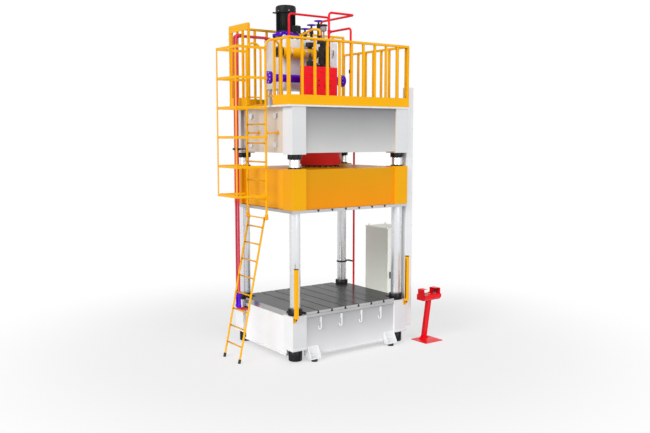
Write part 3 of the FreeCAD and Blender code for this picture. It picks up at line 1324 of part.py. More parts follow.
def pedestal_head():
    case = box(PED_X - HEAD_HALF_X, PED_X + HEAD_HALF_X, HEAD_Y - HEAD_HALF_Y, HEAD_Y + HEAD_HALF_Y,
               HEAD_Z0, HEAD_Z1)
    slope = [at(PED_X - HEAD_HALF_X, HEAD_Y - HEAD_HALF_Y, HEAD_Z0),
             at(PED_X - HEAD_HALF_X, HEAD_Y - HEAD_HALF_Y, HEAD_Z0 + 50),
             at(PED_X - HEAD_HALF_X, HEAD_Y - HEAD_HALF_Y + 45, HEAD_Z0)]
    slope.append(slope[0])
    case = case.cut(Part.Face(Part.makePolygon(slope)).extrude(at(2 * HEAD_HALF_X, 0, 0)))
    pieces = [case, palm_cowl(-1), palm_cowl(1)]
    bores = []
    for x, radius in button_places().values():
        pieces.append(disc(x, HEAD_Y, HEAD_Z1, HEAD_Z1 + 10, radius * 0.75))
        bores.append(disc(x, HEAD_Y, HEAD_Z1 - 40, HEAD_Z1 + 10, BUTTON_STEM_R + RUN_FIT))
    return fuse(pieces).cut(Part.makeCompound(bores))


def push_button(x, radius):
    """Mushroom head on a stem that slides in the panel."""
    under = HEAD_Z1 + 10 + PALM_TRAVEL + 1
    return turned(x, HEAD_Y, [
        (0, HEAD_Z1 - 25), (BUTTON_STEM_R, HEAD_Z1 - 25), (BUTTON_STEM_R, under), (radius, under),
        (radius, under + 8), (radius * 0.85, under + 18), (radius * 0.5, under + 24), (0, under + 26)])


# ---- Write the sub-parts -----------------------------------------------------------------------------
save("bed_frame", bed_frame())
save("foot_brackets", placed_on_feet(foot_bracket))
save("foot_pads", placed_on_feet(foot_pad))
save("table_plate", table_plate())
save("die_hooks", [die_hook(x) for x in HOOK_PLACES])

for side_x, side_name in ((-1, "left"), (1, "right")):
    for side_y, depth_name in ((-1, "front"), (1, "back")):
        save("column_" + depth_name + "_" + side_name, column(side_x * COLUMN_X, side_y * COLUMN_Y))
save("column_nuts", column_nuts())

save("crown_frame", crown_frame())
save("main_cylinder", main_cylinder())
save("cylinder_ring_nut", cylinder_ring_nut())
save("cylinder_gland", cylinder_gland())
save("prefill_valve", prefill_valve())

save("slide_frame", slide_frame())
save("slide_plate", slide_plate())
save("slide_bushes", slide_bushes())
save("ram", ram())

side_end = PLATFORM_Y - TOE_PLATE - BAR
save("platform_deck", platform_deck())
save("railing_front", railing_x(-PLATFORM_Y, 1, PLATFORM_LEFT, PLATFORM_RIGHT, FRONT_GAPS,
                                RAIL_TOP, TOE_BOARD))
save("railing_back", railing_x(PLATFORM_Y, -1, PLATFORM_LEFT, PLATFORM_RIGHT, FRONT_GAPS,
                               HIGH_RAIL_TOP, TOE_BOARD))
save("railing_right", railing_y(PLATFORM_RIGHT, -1, -side_end, side_end, SIDE_GAPS, RAIL_TOP, TOE_BOARD))
save("railing_left", railing_left())

save("ladder_upper", ladder_upper())
save("ladder_cage", ladder_cage())
save("ladder_brackets", ladder_brackets())
save("ladder_pivot", ladder_pivot())
save("ladder_lower", ladder_lower())

save("oil_tank", oil_tank())
save("motor_feet", motor_feet())
save("motor_flange", motor_flange())
save("drive_motor", [drive_motor(), motor_terminal_box()])
save("oil_cooler", oil_cooler())
save("cooler_fittings", cooler_fittings())
save("suction_manifold", suction_manifold())
save("valve_block", valve_block())
save("valve_stack", valve_stack())
save("block_stand", block_stand())
save("tank_pipe", tank_pipe())
save("valve_pipe", valve_pipe())
save("pilot_pipe", pilot_pipe())
save("riser_pipes", riser_pipes())
save("side_pipe", side_pipe())
save("pipe_clamps", pipe_clamps())
save("shutoff_valves", shutoff_valves())
for number, (wheel_x, wheel_height) in enumerate(VALVES, 1):
    save("handwheel_" + str(number), handwheel(wheel_x, wheel_height))
save("breather", breather())

save("light_curtains", light_curtains())
save("cable_duct", cable_duct())
save("cabinet_body", cabinet_body())
save("cabinet_door", cabinet_door())
save("door_handle", door_handle())
save("pedestal_post", pedestal_post())
save("pedestal_head", pedestal_head())
for button_name, (button_x, button_r) in button_places().items():
    save(button_name, push_button(button_x, button_r))
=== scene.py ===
# %% [markdown]
# A four-column hydraulic press. Oil pushes one big ram down out of the crown, the ram pushes the yellow
# slide, and the slide squeezes a die against the table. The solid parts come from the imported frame, which
# keeps every size and every joint. This script only dresses them: paint, ground steel, rubber, and the
# small pieces that a frame leaves out, such as screws, gauges, louvres and grilles.

# %% Load the frame
import math
import bmesh
import bpy
from mathutils import Matrix, Vector


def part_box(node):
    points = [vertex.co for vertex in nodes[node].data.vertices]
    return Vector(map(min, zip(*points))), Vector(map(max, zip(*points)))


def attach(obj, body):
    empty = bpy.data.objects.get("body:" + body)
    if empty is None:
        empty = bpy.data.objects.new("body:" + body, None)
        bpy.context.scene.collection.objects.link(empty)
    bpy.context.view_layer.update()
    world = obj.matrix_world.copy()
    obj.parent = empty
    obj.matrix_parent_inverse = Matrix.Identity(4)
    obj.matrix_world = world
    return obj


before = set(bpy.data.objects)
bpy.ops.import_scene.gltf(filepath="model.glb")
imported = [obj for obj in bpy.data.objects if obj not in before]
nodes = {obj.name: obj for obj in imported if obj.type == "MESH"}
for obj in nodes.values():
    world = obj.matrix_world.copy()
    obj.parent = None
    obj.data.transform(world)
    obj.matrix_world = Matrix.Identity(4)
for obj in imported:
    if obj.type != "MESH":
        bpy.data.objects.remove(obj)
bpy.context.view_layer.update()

# %% [markdown]
# The camera stands in front of the left corner at about two thirds of the machine's height, and looks
# a little down. The focal length is a short telephoto, so the four columns stay nearly parallel. These
# numbers were worked out from where known corners of the press land in the picture.

# %% Camera
camera_data = bpy.data.cameras.new("camera")
camera = bpy.data.objects.new("camera", camera_data)
bpy.context.scene.collection.objects.link(camera)
camera_data.lens = 42.97
camera_data.sensor_width = 36.0
camera_data.clip_end = 200.0
camera.location = (-8.628, -12.121, 4.025)
camera.rotation_euler = (math.radians(83.948), 0.0, math.radians(-35.783))
bpy.context.scene.camera = camera
print("camera", tuple(round(v, 2) for v in camera.location), "lens", camera_data.lens, "mm")

# %% [markdown]
# A material is a small circuit of nodes, and so is the light of a studio. These tools wire up the parts that
# come back again and again: arithmetic, a change of range, and a test for rays that lead to the camera.

# %% Tools for wiring nodes
scene = bpy.context.scene
scene.view_settings.view_transform = "Standard"


def node_tree_of(owner):
    """The empty node tree of a material or world, with its link function."""
    owner.use_nodes = True
    owner.node_tree.nodes.clear()
    return owner.node_tree.nodes, owner.node_tree.links.new


def shader_math(made, link, operation, first, second=None):
    """A Math node fed with sockets or numbers."""
    step = made.new("ShaderNodeMath")
    step.operation = operation
    for slot_number, value in enumerate((first, second)):
        if value is None:
            continue
        if isinstance(value, (int, float)):
            step.inputs[slot_number].default_value = value
        else:
            link(value, step.inputs[slot_number])
    return step.outputs[0]


def remap(made, link, value, start, end, low=0.0, high=1.0, kind="LINEAR"):
    """A value changed so that start becomes low and end becomes high."""
    step = made.new("ShaderNodeMapRange")
    step.interpolation_type = kind
    for entry, number in (("From Min", start), ("From Max", end), ("To Min", low), ("To Max", high)):
        step.inputs[entry].default_value = number
    link(value, step.inputs["Value"])
    return step.outputs["Result"]


def seen_straight(made, link):
    """1 for what the camera sees, also in a mirror or through glass; 0 for what lights the press."""
    path = made.new("ShaderNodeLightPath")
    mirrored = shader_math(made, link, "MAXIMUM", path.outputs["Is Glossy Ray"],
                           path.outputs["Is Transmission Ray"])
    return shader_math(made, link, "MAXIMUM", path.outputs["Is Camera Ray"], mirrored)


print("view transform:", scene.view_settings.view_transform)

# %% [markdown]
# The studio is a white cove: a floor that fades into a white surround, so that only a soft shadow ties the
# press to the ground. A broad key lamp on the left makes the left faces the brightest, a weaker one on the
# right opens up the front. Their sum is set so that a colour comes out about as it is written. The white
# glow of the cove is only for the camera and for mirror images in metal, or it would light the press too.

# %% Studio
FLOOR_PAINT = 0.80
FLOOR_GLOW = 0.55            # share of white that the camera adds to the painted floor
FADE_START = 3.0             # metres from the press where the floor starts to fade to white
FADE_END = 7.5
FLOOR_HALF = 60.0            # metres from the middle of the floor to its edges
SURROUND = 0.50              # light from all round
SURROUND_TINT = (0.96, 0.98, 1.0, 1)


def make_world():
    """White for the camera, a softer and slightly cool light for the press."""
    world = bpy.data.worlds.new("studio")
    scene.world = world
    made, link = node_tree_of(world)
    seen = made.new("ShaderNodeBackground")
    seen.inputs["Color"].default_value = (1, 1, 1, 1)
    lit = made.new("ShaderNodeBackground")
    lit.inputs["Color"].default_value = SURROUND_TINT
    lit.inputs["Strength"].default_value = SURROUND
    mix = made.new("ShaderNodeMixShader")
    out = made.new("ShaderNodeOutputWorld")
    link(seen_straight(made, link), mix.inputs[0])
    link(lit.outputs[0], mix.inputs[1])
    link(seen.outputs[0], mix.inputs[2])
    link(mix.outputs[0], out.inputs[0])


def make_floor():
    """The floor of the cove, which only stages the press."""
    mesh = bpy.data.meshes.new("floor")
    corners = [(x * FLOOR_HALF, y * FLOOR_HALF, 0) for x, y in ((-1, -1), (1, -1), (1, 1), (-1, 1))]
    mesh.from_pydata(corners, [], [(0, 1, 2, 3)])
    floor = bpy.data.objects.new("floor", mesh)
    scene.collection.objects.link(floor)
    material = bpy.data.materials.new("cove_floor")
    made, link = node_tree_of(material)
    place = made.new("ShaderNodeNewGeometry")
    away = made.new("ShaderNodeVectorMath")
    away.operation = "LENGTH"
    painted = made.new("ShaderNodeBsdfDiffuse")
    painted.inputs["Color"].default_value = (FLOOR_PAINT, FLOOR_PAINT, FLOOR_PAINT, 1)
    white = made.new("ShaderNodeEmission")
    mix = made.new("ShaderNodeMixShader")
    out = made.new("ShaderNodeOutputMaterial")
    link(place.outputs["Position"], away.inputs[0])
    fade = remap(made, link, away.outputs["Value"], FADE_START, FADE_END, low=FLOOR_GLOW, kind="SMOOTHSTEP")
    glow = shader_math(made, link, "MULTIPLY", fade, seen_straight(made, link))
    link(glow, mix.inputs[0])
    link(painted.outputs[0], mix.inputs[1])
    link(white.outputs[0], mix.inputs[2])
    link(mix.outputs[0], out.inputs[0])
    mesh.materials.append(material)


def make_lamp(name, toward, strength, softness):
    """A far lamp whose light travels along the vector toward."""
    data = bpy.data.lights.new(name, "SUN")
    data.energy = strength
    data.angle = math.radians(softness)
    lamp = bpy.data.objects.new(name, data)
    lamp.rotation_mode = "QUATERNION"
    lamp.rotation_quaternion = Vector(toward).to_track_quat("-Z", "Y")
    scene.collection.objects.link(lamp)


make_world()
make_floor()
make_lamp("key_left", (0.86, 0.22, -0.50), 1.75, 30)
make_lamp("front_fill", (-0.10, 0.90, -0.40), 1.10, 40)
print("studio: surround", SURROUND, "and", len(bpy.data.lights), "lamps")

# %% [markdown]
# No real surface has one colour and one shine all over. So each finish takes its colour, its roughness and
# its relief from noise, which is measured in metres: a big panel and a small bracket get the same grain.

# %% Noise, and what a finish makes of it
NOISE_LOW, NOISE_HIGH = 0.3, 0.7     # nearly all of a noise lies between these


def noise(made, link, scale, detail=3.0, stretch=(1, 1, 1)):
    """Noise in metres of the object's own frame, optionally stretched."""
    where = made.new("ShaderNodeTexCoord")
    mapping = made.new("ShaderNodeMapping")
    mapping.inputs["Scale"].default_value = stretch
    grain = made.new("ShaderNodeTexNoise")
    grain.inputs["Scale"].default_value = scale
    grain.inputs["Detail"].default_value = detail
    link(where.outputs["Object"], mapping.inputs["Vector"])
    link(mapping.outputs["Vector"], grain.inputs["Vector"])
    return grain.outputs["Fac"]


def ramp(made, link, value, low, high, low_at=NOISE_LOW, high_at=NOISE_HIGH):
    """Two-stop ramp between colours or greys."""
    stops = made.new("ShaderNodeValToRGB")
    stops.color_ramp.elements[0].position = low_at
    stops.color_ramp.elements[1].position = high_at
    stops.color_ramp.elements[0].color = (*low, 1)
    stops.color_ramp.elements[1].color = (*high, 1)
    link(value, stops.inputs[0])
    return stops.outputs["Color"]


def spread(made, link, value, low, high):
    """Noise remapped to run between two numbers."""
    return remap(made, link, value, NOISE_LOW, NOISE_HIGH, low, high)


def bump(made, link, height, strength, depth):
    """Relief that the light sees, from a height of noise."""
    step = made.new("ShaderNodeBump")
    step.inputs["Strength"].default_value = strength
    step.inputs["Distance"].default_value = depth
    link(height, step.inputs["Height"])
    return step.outputs["Normal"]


def linear(red, green, blue):
    """A colour as a paint chart gives it, 0 to 255, as the renderer wants it."""
    return tuple(((v / 255 + 0.055) / 1.055) ** 2.4 if v > 10 else v / 255 / 12.92
                 for v in (red, green, blue))


def new_finish(name, metallic=0.0):
    """A material with its main shader and output in place."""
    material = bpy.data.materials.new(name)
    made, link = node_tree_of(material)
    shader = made.new("ShaderNodeBsdfPrincipled")
    shader.inputs["Metallic"].default_value = metallic
    out = made.new("ShaderNodeOutputMaterial")
    link(shader.outputs[0], out.inputs[0])
    return material, made, link, shader


print("noise is used from", NOISE_LOW, "to", NOISE_HIGH)

# %% [markdown]
# Some pieces wear a second colour on a few faces: a purple sleeve on a pipe, a black cap. Others get painted
# light and shade on some faces: a side painted lighter or darker for the light that falls on it, a panel
# painted darker as the shade of the edge above it. A mask finds these faces by the way they look and by
# where they lie.

# %% Patches of a second colour, and of painted light and shade
FACING_SHARE = 0.7           # a face with this much of its direction along an axis faces that way


def patch_mask(made, link, facing=None, rising=None, **between):
    """1 on faces that look along an axis and lie between the given distances from the piece's own planes.

    rising gives two heights between which the mask fades in.
    """
    place = made.new("ShaderNodeTexCoord")
    surface = made.new("ShaderNodeNewGeometry")
    position = made.new("ShaderNodeSeparateXYZ")
    normal = made.new("ShaderNodeSeparateXYZ")
    link(place.outputs["Object"], position.inputs[0])
    link(surface.outputs["True Normal"], normal.inputs[0])
    mask = 1.0
    if facing:
        turned_to = shader_math(made, link, "ABSOLUTE", normal.outputs[facing])
        mask = shader_math(made, link, "GREATER_THAN", turned_to, FACING_SHARE)
    if rising:
        fade = remap(made, link, position.outputs["Z"], *rising)
        mask = shader_math(made, link, "MULTIPLY", mask, fade)
    for axis, (near_limit, far_limit) in between.items():
        distance = shader_math(made, link, "ABSOLUTE", position.outputs[axis])
        past_near = shader_math(made, link, "GREATER_THAN", distance, near_limit)
        before_far = shader_math(made, link, "LESS_THAN", distance, far_limit)
        mask = shader_math(made, link, "MULTIPLY", mask,
                           shader_math(made, link, "MULTIPLY", past_near, before_far))
    return mask


def patched(made, link, value, colours_and_shades, drift):
    """A base colour with other colours, or painted light and shade, laid over some faces of the same piece.
    """
    def drifting(tone):
        return ramp(made, link, value, tuple(v * (1 - drift) for v in tone), tone)
    paint = drifting(colours_and_shades[0])
    for tone, where in colours_and_shades[1:]:
        blend = made.new("ShaderNodeMix")
        blend.data_type = "RGBA"
        link(patch_mask(made, link, **where), blend.inputs["Factor"])
        link(paint, blend.inputs["A"])
        link(drifting(tone), blend.inputs["B"])
        paint = blend.outputs["Result"]
    return paint


print("a face looks along an axis from a share of", FACING_SHARE)

# %% [markdown]
# Enamel is paint that was sprayed on steel and levelled out while wet. Up close it has a faint orange-peel
# skin, its colour drifts by a few percent, and dust takes the shine off here and there. One function makes
# all the enamels: they differ in colour and gloss. Some get a second colour on a few faces, and some get
# painted light and shade: sides painted lighter or darker for the light that falls on them, and recessed
# front panels painted darker as shade.

# %% Enamel
PEEL_SCALE = 170.0           # bumps of orange peel, about 6 mm apart
PEEL_DEPTH = 0.0012
DRIFT_SCALE = 1.3            # slow drift of the colour over a panel
DRIFT = 0.05                 # share by which the colour darkens
DUST_SCALE = 5.0             # patches where dust takes the shine off
ENAMEL_SHINE = 0.16          # weak mirror image, as on paint that has stood in a workshop


def enamel(name, colour, gloss=0.30, peel=0.12, colours_and_shades=()):
    """Sprayed paint, with second colours or painted light and shade laid over some faces, each given with
    the faces it covers.
    """
    material, made, link, shader = new_finish(name)
    tones = [linear(*colour)] + [(linear(*patch), where) for patch, where in colours_and_shades]
    paint = patched(made, link, noise(made, link, DRIFT_SCALE, 4.0), tones, DRIFT)
    link(paint, shader.inputs["Base Color"])
    link(spread(made, link, noise(made, link, DUST_SCALE), gloss - 0.05, gloss + 0.09),
         shader.inputs["Roughness"])
    link(bump(made, link, noise(made, link, PEEL_SCALE, 2.0), peel, PEEL_DEPTH), shader.inputs["Normal"])
    shader.inputs["Specular IOR Level"].default_value = ENAMEL_SHINE
    return material


# Where second colours and painted light and shade go: the way a face looks, and its distances in metres
# from the middle planes.
SIDE_FACES = {"facing": "X"}
SIDE_PANELS = {"facing": "X", "X": (0.0, 1.29)}      # corner blocks stand further out than the panels
FRONT_PANELS = {"facing": "Y", "Y": (0.0, 1.0)}
FRONT_BLOCKS = {"facing": "Y", "Y": (1.0, 1.3)}
SLEEVES = {"X": (1.40, 1.52), "Z": (0.744, 1.016)}
FEED_COUPLING = {"X": (0.25, 0.33), "Y": (0.52, 0.60), "Z": (5.14, 5.22)}
BREATHER_CAP = {"Z": (6.09, 6.20)}
PURPLE = (92, 4, 205)


def recess(low_tone, high_tone, heights):
    """Painted shade on a recessed front panel: it darkens upwards, as shade under the edge that overhangs
    it.
    """
    return ((low_tone, FRONT_PANELS), (high_tone, {**FRONT_PANELS, "rising": heights}))


white_enamel = enamel("white_enamel", (234, 235, 236), gloss=0.33)
# Painted light and shade on the bed, crown and slide: faces turned to the side are painted lighter or
# darker, and warmer on the crown, for the light that falls on them; faces turned to the front are painted
# darker as shade, the recessed panels most of all.
bed_lit_and_shaded_enamel = enamel("bed_lit_and_shaded_enamel", (240, 240, 241), gloss=0.33,
                    colours_and_shades=(((248, 248, 249), SIDE_PANELS), ((218, 218, 220), FRONT_BLOCKS),
                             *recess((228, 228, 229), (172, 172, 174), (0.12, 0.80))))
crown_lit_and_shaded_enamel = enamel("crown_lit_and_shaded_enamel", (230, 231, 233), gloss=0.35,
                      colours_and_shades=(((222, 210, 194), SIDE_PANELS), ((222, 222, 223), FRONT_BLOCKS),
                               *recess((206, 206, 204), (140, 140, 142), (3.72, 4.46))))
slide_lit_and_shaded_enamel = enamel("slide_lit_and_shaded_enamel", (241, 171, 0), gloss=0.34,
                      colours_and_shades=(((238, 163, 0), SIDE_FACES), ((250, 171, 0), SIDE_PANELS),
                               *recess((242, 148, 0), (222, 154, 0), (2.72, 3.38))))
yellow_enamel = enamel("yellow_enamel", (250, 180, 0), gloss=0.36)
cylinder_enamel = enamel("cylinder_enamel", (250, 56, 62))
red_enamel = enamel("red_enamel", (252, 26, 42))
# The pedestal's side faces are painted darker as shade.
pedestal_shaded_enamel = enamel("pedestal_shaded_enamel", (238, 22, 34), gloss=0.32,
                         colours_and_shades=(((200, 18, 32), SIDE_FACES),))
pipe_enamel = enamel("pipe_enamel", (240, 24, 46), gloss=0.28, colours_and_shades=(((30, 28, 30), FEED_COUPLING),))
riser_enamel = enamel("riser_enamel", (220, 62, 84), colours_and_shades=((PURPLE, SLEEVES),))
purple_enamel = enamel("purple_enamel", PURPLE)
motor_enamel = enamel("motor_enamel", (22, 25, 24), gloss=0.45, peel=0.2)
breather_enamel = enamel("breather_enamel", (176, 176, 180), colours_and_shades=(((24, 26, 26), BREATHER_CAP),))
print("enamels:", sum(m.name.endswith("enamel") for m in bpy.data.materials))

# %% [markdown]
# The cabinet is powder coated: plastic dust is baked on and keeps a fine, matt leather texture. Black
# oxide, on the nuts and fittings, is a satin skin that shows worn steel in places. Rubber is the dullest of
# all. Each gets its own grain and its own shine.

# %% Powder coat, black oxide, rubber and plastics
def grained(name, colour, rough, relief, metallic=0.0):
    """A finish whose colour, roughness and relief each follow a noise of their own.

    Each of the three is the noise (scale, detail, stretch) and then what ramp, spread or bump makes of it.
    """
    material, made, link, shader = new_finish(name, metallic)
    for (grain, *ends), step, entry in ((colour, ramp, "Base Color"), (rough, spread, "Roughness"),
                                        (relief, bump, "Normal")):
        link(step(made, link, noise(made, link, *grain), *ends), shader.inputs[entry])
    return material


def shaded(colour, share):
    """A colour between a darker shade of itself and itself."""
    tone = linear(*colour)
    return tuple(v * share for v in tone), tone


def plastic(name, colour, gloss=0.25):
    """Moulded plastic with a smooth skin."""
    return grained(name, ((25.0,), *shaded(colour, 0.93)), ((80.0,), gloss - 0.04, gloss + 0.06),
                   ((900.0, 1.0), 0.08, 0.0003))


cabinet_coat = grained("cabinet_powder_coat", ((2.0,), *shaded((250, 254, 243), 0.96)),
                       ((30.0,), 0.48, 0.60), ((420.0, 1.0), 0.35, 0.0008))
black_steel = grained("black_oxide_steel",
                      ((14.0, 6.0), (0.010, 0.010, 0.012), (0.045, 0.046, 0.050), 0.45, 0.80),
                      ((40.0,), 0.34, 0.5), ((260.0,), 0.15, 0.0006), metallic=0.6)
pad_rubber = grained("pad_rubber", ((9.0,), (0.012, 0.012, 0.012), (0.03, 0.03, 0.031)),
                     ((60.0,), 0.7, 0.85), ((500.0,), 0.4, 0.0006))
black_plastic = plastic("black_plastic", (24, 24, 26))
grey_plastic = plastic("grey_plastic", (120, 124, 128), 0.4)
red_plastic = plastic("red_plastic", (190, 16, 18), 0.18)
print("quiet finishes:", cabinet_coat.name, black_steel.name, pad_rubber.name)

# %% [markdown]
# The columns and the ram are ground round and hard-chromed. The grinding wheel leaves rings round the bar
# that are too fine to see one by one; they only soften its highlights. The table and the slide plate are
# planed flat: the cutter leaves faint strokes along the T-slots, and old oil darkens them. Both finishes are
# metal, so their colour is the colour of their reflection.

# %% Ground chrome, planed steel and bright fittings
OUTER_EDGES = ({"facing": "Y"}, {"facing": "X", "X": (0.85, 2.0)})     # not the walls of the slots
OIL_TINT = (0.35, 0.35, 0.35, 1)     # oil dulls the glancing light


def planed_steel(name, tone, edge_tone, rough):
    """Flat machined steel with cutter strokes along Y and a film of oil; its outer edges are cleaner."""
    material, made, link, shader = new_finish(name, metallic=0.85)
    shader.inputs["Specular Tint"].default_value = OIL_TINT
    strokes = noise(made, link, 55.0, stretch=(6.0, 0.12, 1.0))
    tones = [(tone,) * 3] + [((edge_tone,) * 3, edges) for edges in OUTER_EDGES]
    metal = patched(made, link, noise(made, link, 1.6, 5.0), tones, 0.2)
    link(metal, shader.inputs["Base Color"])
    link(spread(made, link, strokes, rough - 0.05, rough + 0.05), shader.inputs["Roughness"])
    link(bump(made, link, strokes, 0.04, 0.0003), shader.inputs["Normal"])
    return material


chrome = grained("ground_chrome", ((0.9,), (0.74, 0.75, 0.77), (0.80, 0.81, 0.83)),
                 ((6.0, 1.0), 0.26, 0.30), ((9.0, 1.0, (0.15, 0.15, 6.0)), 0.01, 0.0001), metallic=0.7)
table_steel = planed_steel("planed_table_steel", 0.33, 0.55, rough=0.20)
slide_steel = planed_steel("planed_slide_steel", 0.50, 0.60, rough=0.42)
zinc = grained("zinc_plate", ((12.0,), (0.527, 0.527, 0.527), (0.62, 0.62, 0.6324)),
               ((90.0,), 0.28, 0.44), ((300.0,), 0.06, 0.0004), metallic=1.0)
print("metals:", chrome.name, table_steel.name, slide_steel.name, zinc.name)

# %% [markdown]
# A real edge is never perfectly sharp: plate edges are broken with a file and paint rounds them further, and
# that thin rounding catches the light. The frame's solids stay as they are, and modifiers work on top of
# them: copies of a corner are welded together, triangles of one flat face are joined, and then a Bevel
# modifier rounds the edges that are left.

# %% Dress the frame's solids
PAINTED = (
    (bed_lit_and_shaded_enamel, "bed_frame"),
    (crown_lit_and_shaded_enamel, "crown_frame"),
    (slide_lit_and_shaded_enamel, "slide_frame"),
    (white_enamel, "foot_brackets die_hooks platform_deck oil_tank block_stand cable_duct"),
    (yellow_enamel, "railing_front railing_back railing_right railing_left ladder_upper ladder_cage "
                    "ladder_brackets ladder_pivot ladder_lower oil_cooler pilot_pipe light_curtains"),
    (purple_enamel, "suction_manifold prefill_valve motor_flange handwheel_1 handwheel_2 handwheel_3"),
    (cylinder_enamel, "main_cylinder"),
    (red_enamel, "valve_block"),
    (pipe_enamel, "tank_pipe valve_pipe side_pipe"),
    (riser_enamel, "riser_pipes"),
    (pedestal_shaded_enamel, "pedestal_post pedestal_head"),
    (motor_enamel, "drive_motor"),
    (breather_enamel, "breather"),
    (cabinet_coat, "cabinet_body cabinet_door"),
    (black_steel, "column_nuts slide_bushes cylinder_ring_nut cylinder_gland cooler_fittings valve_stack "
                  "pipe_clamps shutoff_valves motor_feet"),
    (chrome, "column_front_left column_front_right column_back_left column_back_right ram"),
    (table_steel, "table_plate"),
    (slide_steel, "slide_plate"),
    (black_plastic, "door_handle palm_button_left palm_button_right"),
    (red_plastic, "emergency_stop"),
    (pad_rubber, "foot_pads"))
SOFT_EDGES = (               # radius in metres, and the solids it goes on
    (0.005, "bed_frame crown_frame slide_frame"),
    (0.003, "railing_front railing_back railing_right railing_left block_stand"),
    (0.002, "table_plate slide_plate platform_deck cable_duct light_curtains cabinet_body cabinet_door "
            "pedestal_head pedestal_post foot_brackets"),
    (0.0015, "ladder_cage"))
CREASE = math.radians(34)
WELD_GAP = 0.00002
FLAT_WITHIN = math.radians(0.5)


def dress(solid, finish):
    """Give a solid its finish and weld its faces together, so that round ones look smooth."""
    solid.data.materials.clear()
    solid.data.materials.append(finish)
    weld = solid.modifiers.new("weld", "WELD")
    weld.merge_threshold = WELD_GAP


def soften(solid, radius):
    """Join the triangles of flat faces and round the edges between them."""
    flat = solid.modifiers.new("flat_faces", "DECIMATE")
    flat.decimate_type = "DISSOLVE"
    flat.angle_limit = FLAT_WITHIN
    edge = solid.modifiers.new("soft_edges", "BEVEL")
    edge.width = radius
    edge.segments = 2
    edge.limit_method = "ANGLE"
    edge.angle_limit = CREASE
    edge.use_clamp_overlap = False


dressed = [(name, finish) for finish, names in PAINTED for name in names.split()]
softened = [(name, radius) for radius, names in SOFT_EDGES for name in names.split()]
for name, finish in dressed:
    dress(nodes[name], finish)
for name, radius in softened:
    soften(nodes[name], radius)
print("dressed", len(dressed), "of", len(nodes), "solids,", len(softened), "with soft edges")

# %% [markdown]
# Almost every small part on the press is turned: screws, nuts, caps, rings, buttons. So one tool makes them
# all. It takes a profile as pairs of radius and height and spins it round an axis, as a lathe would. A
# ring of the profile can also be hexagonal, which gives bolt heads and the sockets of cap screws.

# %% A lathe for small parts
AROUND = 24                  # flats to a turn
FINE_AROUND = 48             # the same for wider rings
X_AXIS, Y_AXIS, Z_AXIS = Vector((1, 0, 0)), Vector((0, 1, 0)), Vector((0, 0, 1))


def hexagon(turn):
    """How far a hexagon reaches at this angle, for a distance of 1 to its corners."""
    part = (turn + math.pi / 6) % (math.pi / 3) - math.pi / 6
    return math.cos(math.pi / 6) / math.cos(part)


def axis_turn(axis):
    """The turn that lays Z along an axis."""
    return Vector(axis).to_track_quat("Z", "X").to_matrix()


def lathe(mesh, place, axis, profile, around=AROUND):
    """Spin (radius, height[, "hex"]) points about an axis through place."""
    frame_turn = axis_turn(axis)
    rings = []
    for radius, height, *shape in profile:
        if radius == 0:
            rings.append([mesh.verts.new(Vector(place) + frame_turn @ Vector((0, 0, height)))])
            continue
        ring = []
        for i in range(around):
            turn = 2 * math.pi * i / around
            reach = radius * (hexagon(turn) if shape else 1)
            point = Vector((reach * math.cos(turn), reach * math.sin(turn), height))
            ring.append(mesh.verts.new(Vector(place) + frame_turn @ point))
        rings.append(ring)
    for low, high in zip(rings, rings[1:]):
        for i in range(around):
            j = (i + 1) % around
            corners = [low[i % len(low)], low[j % len(low)], high[j % len(high)], high[i % len(high)]]
            once = list(dict.fromkeys(corners))
            if len(once) > 2:
                mesh.faces.new(once)


def slab(mesh, low, high, edge):
    """Rectangular block between two corners, with its edges rounded over."""
    low, high = Vector(low), Vector(high)
    made = bmesh.ops.create_cube(mesh, size=1.0)["verts"]
    bmesh.ops.scale(mesh, vec=high - low, verts=made)
    bmesh.ops.translate(mesh, vec=(low + high) / 2, verts=made)
    edges = list({e for v in made for e in v.link_edges})
    bmesh.ops.bevel(mesh, geom=edges, offset=edge, segments=2, affect="EDGES", profile=0.5)


def piece(name, mesh, finish, body="press"):
    """Turn a finished bmesh into a piece that rides on a body."""
    bmesh.ops.recalc_face_normals(mesh, faces=mesh.faces)
    data = bpy.data.meshes.new(name)
    mesh.to_mesh(data)
    mesh.free()
    for face in data.polygons:
        face.use_smooth = True
    made = bpy.data.objects.new(name, data)
    scene.collection.objects.link(made)
    data.set_sharp_from_angle(angle=CREASE)
    data.materials.append(finish)
    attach(made, body)
    print(name, "on", body, "with", len(data.polygons), "faces")


print("lathe ready,", AROUND, "flats to a turn")

# %% [markdown]
# A cap screw has a round, knurled head with a hexagon socket; a bolt has a hexagon head on a washer face,
# with its corners turned off at 30 degrees. Both are drawn for a head radius of 1 and scaled to size, since
# standard screws keep those proportions from M6 to M36.

# %% Screws and bolts
CAP_SCREW = ((0.0, 0.42), (0.50, 0.42, "hex"), (0.56, 0.98, "hex"), (0.62, 1.06), (0.88, 1.06), (1.0, 0.94),
             (1.0, 0.0))
HEX_HEAD = ((0.0, 0.62), (0.80, 0.62), (0.98, 0.54, "hex"), (1.0, 0.46, "hex"), (1.0, 0.10, "hex"),
            (1.12, 0.10), (1.16, 0.06), (1.16, 0.0))
HALF_OF_6, HALF_OF_8 = math.radians(30), math.radians(22.5)     # half the step between 6 or 8 screws


def screw(mesh, place, axis, radius, form=CAP_SCREW):
    """One screw of a form, at the size that its head's radius gives."""
    lathe(mesh, place, axis, [(r * radius, h * radius, *shape) for r, h, *shape in form])


def circle_of(centre, axis, radius, count, start=0.0):
    """Points evenly spaced on a circle about an axis."""
    frame_turn = axis_turn(axis)
    return [Vector(centre) + frame_turn @ Vector((radius * math.cos(t), radius * math.sin(t), 0))
            for t in (start + 2 * math.pi * i / count for i in range(count))]


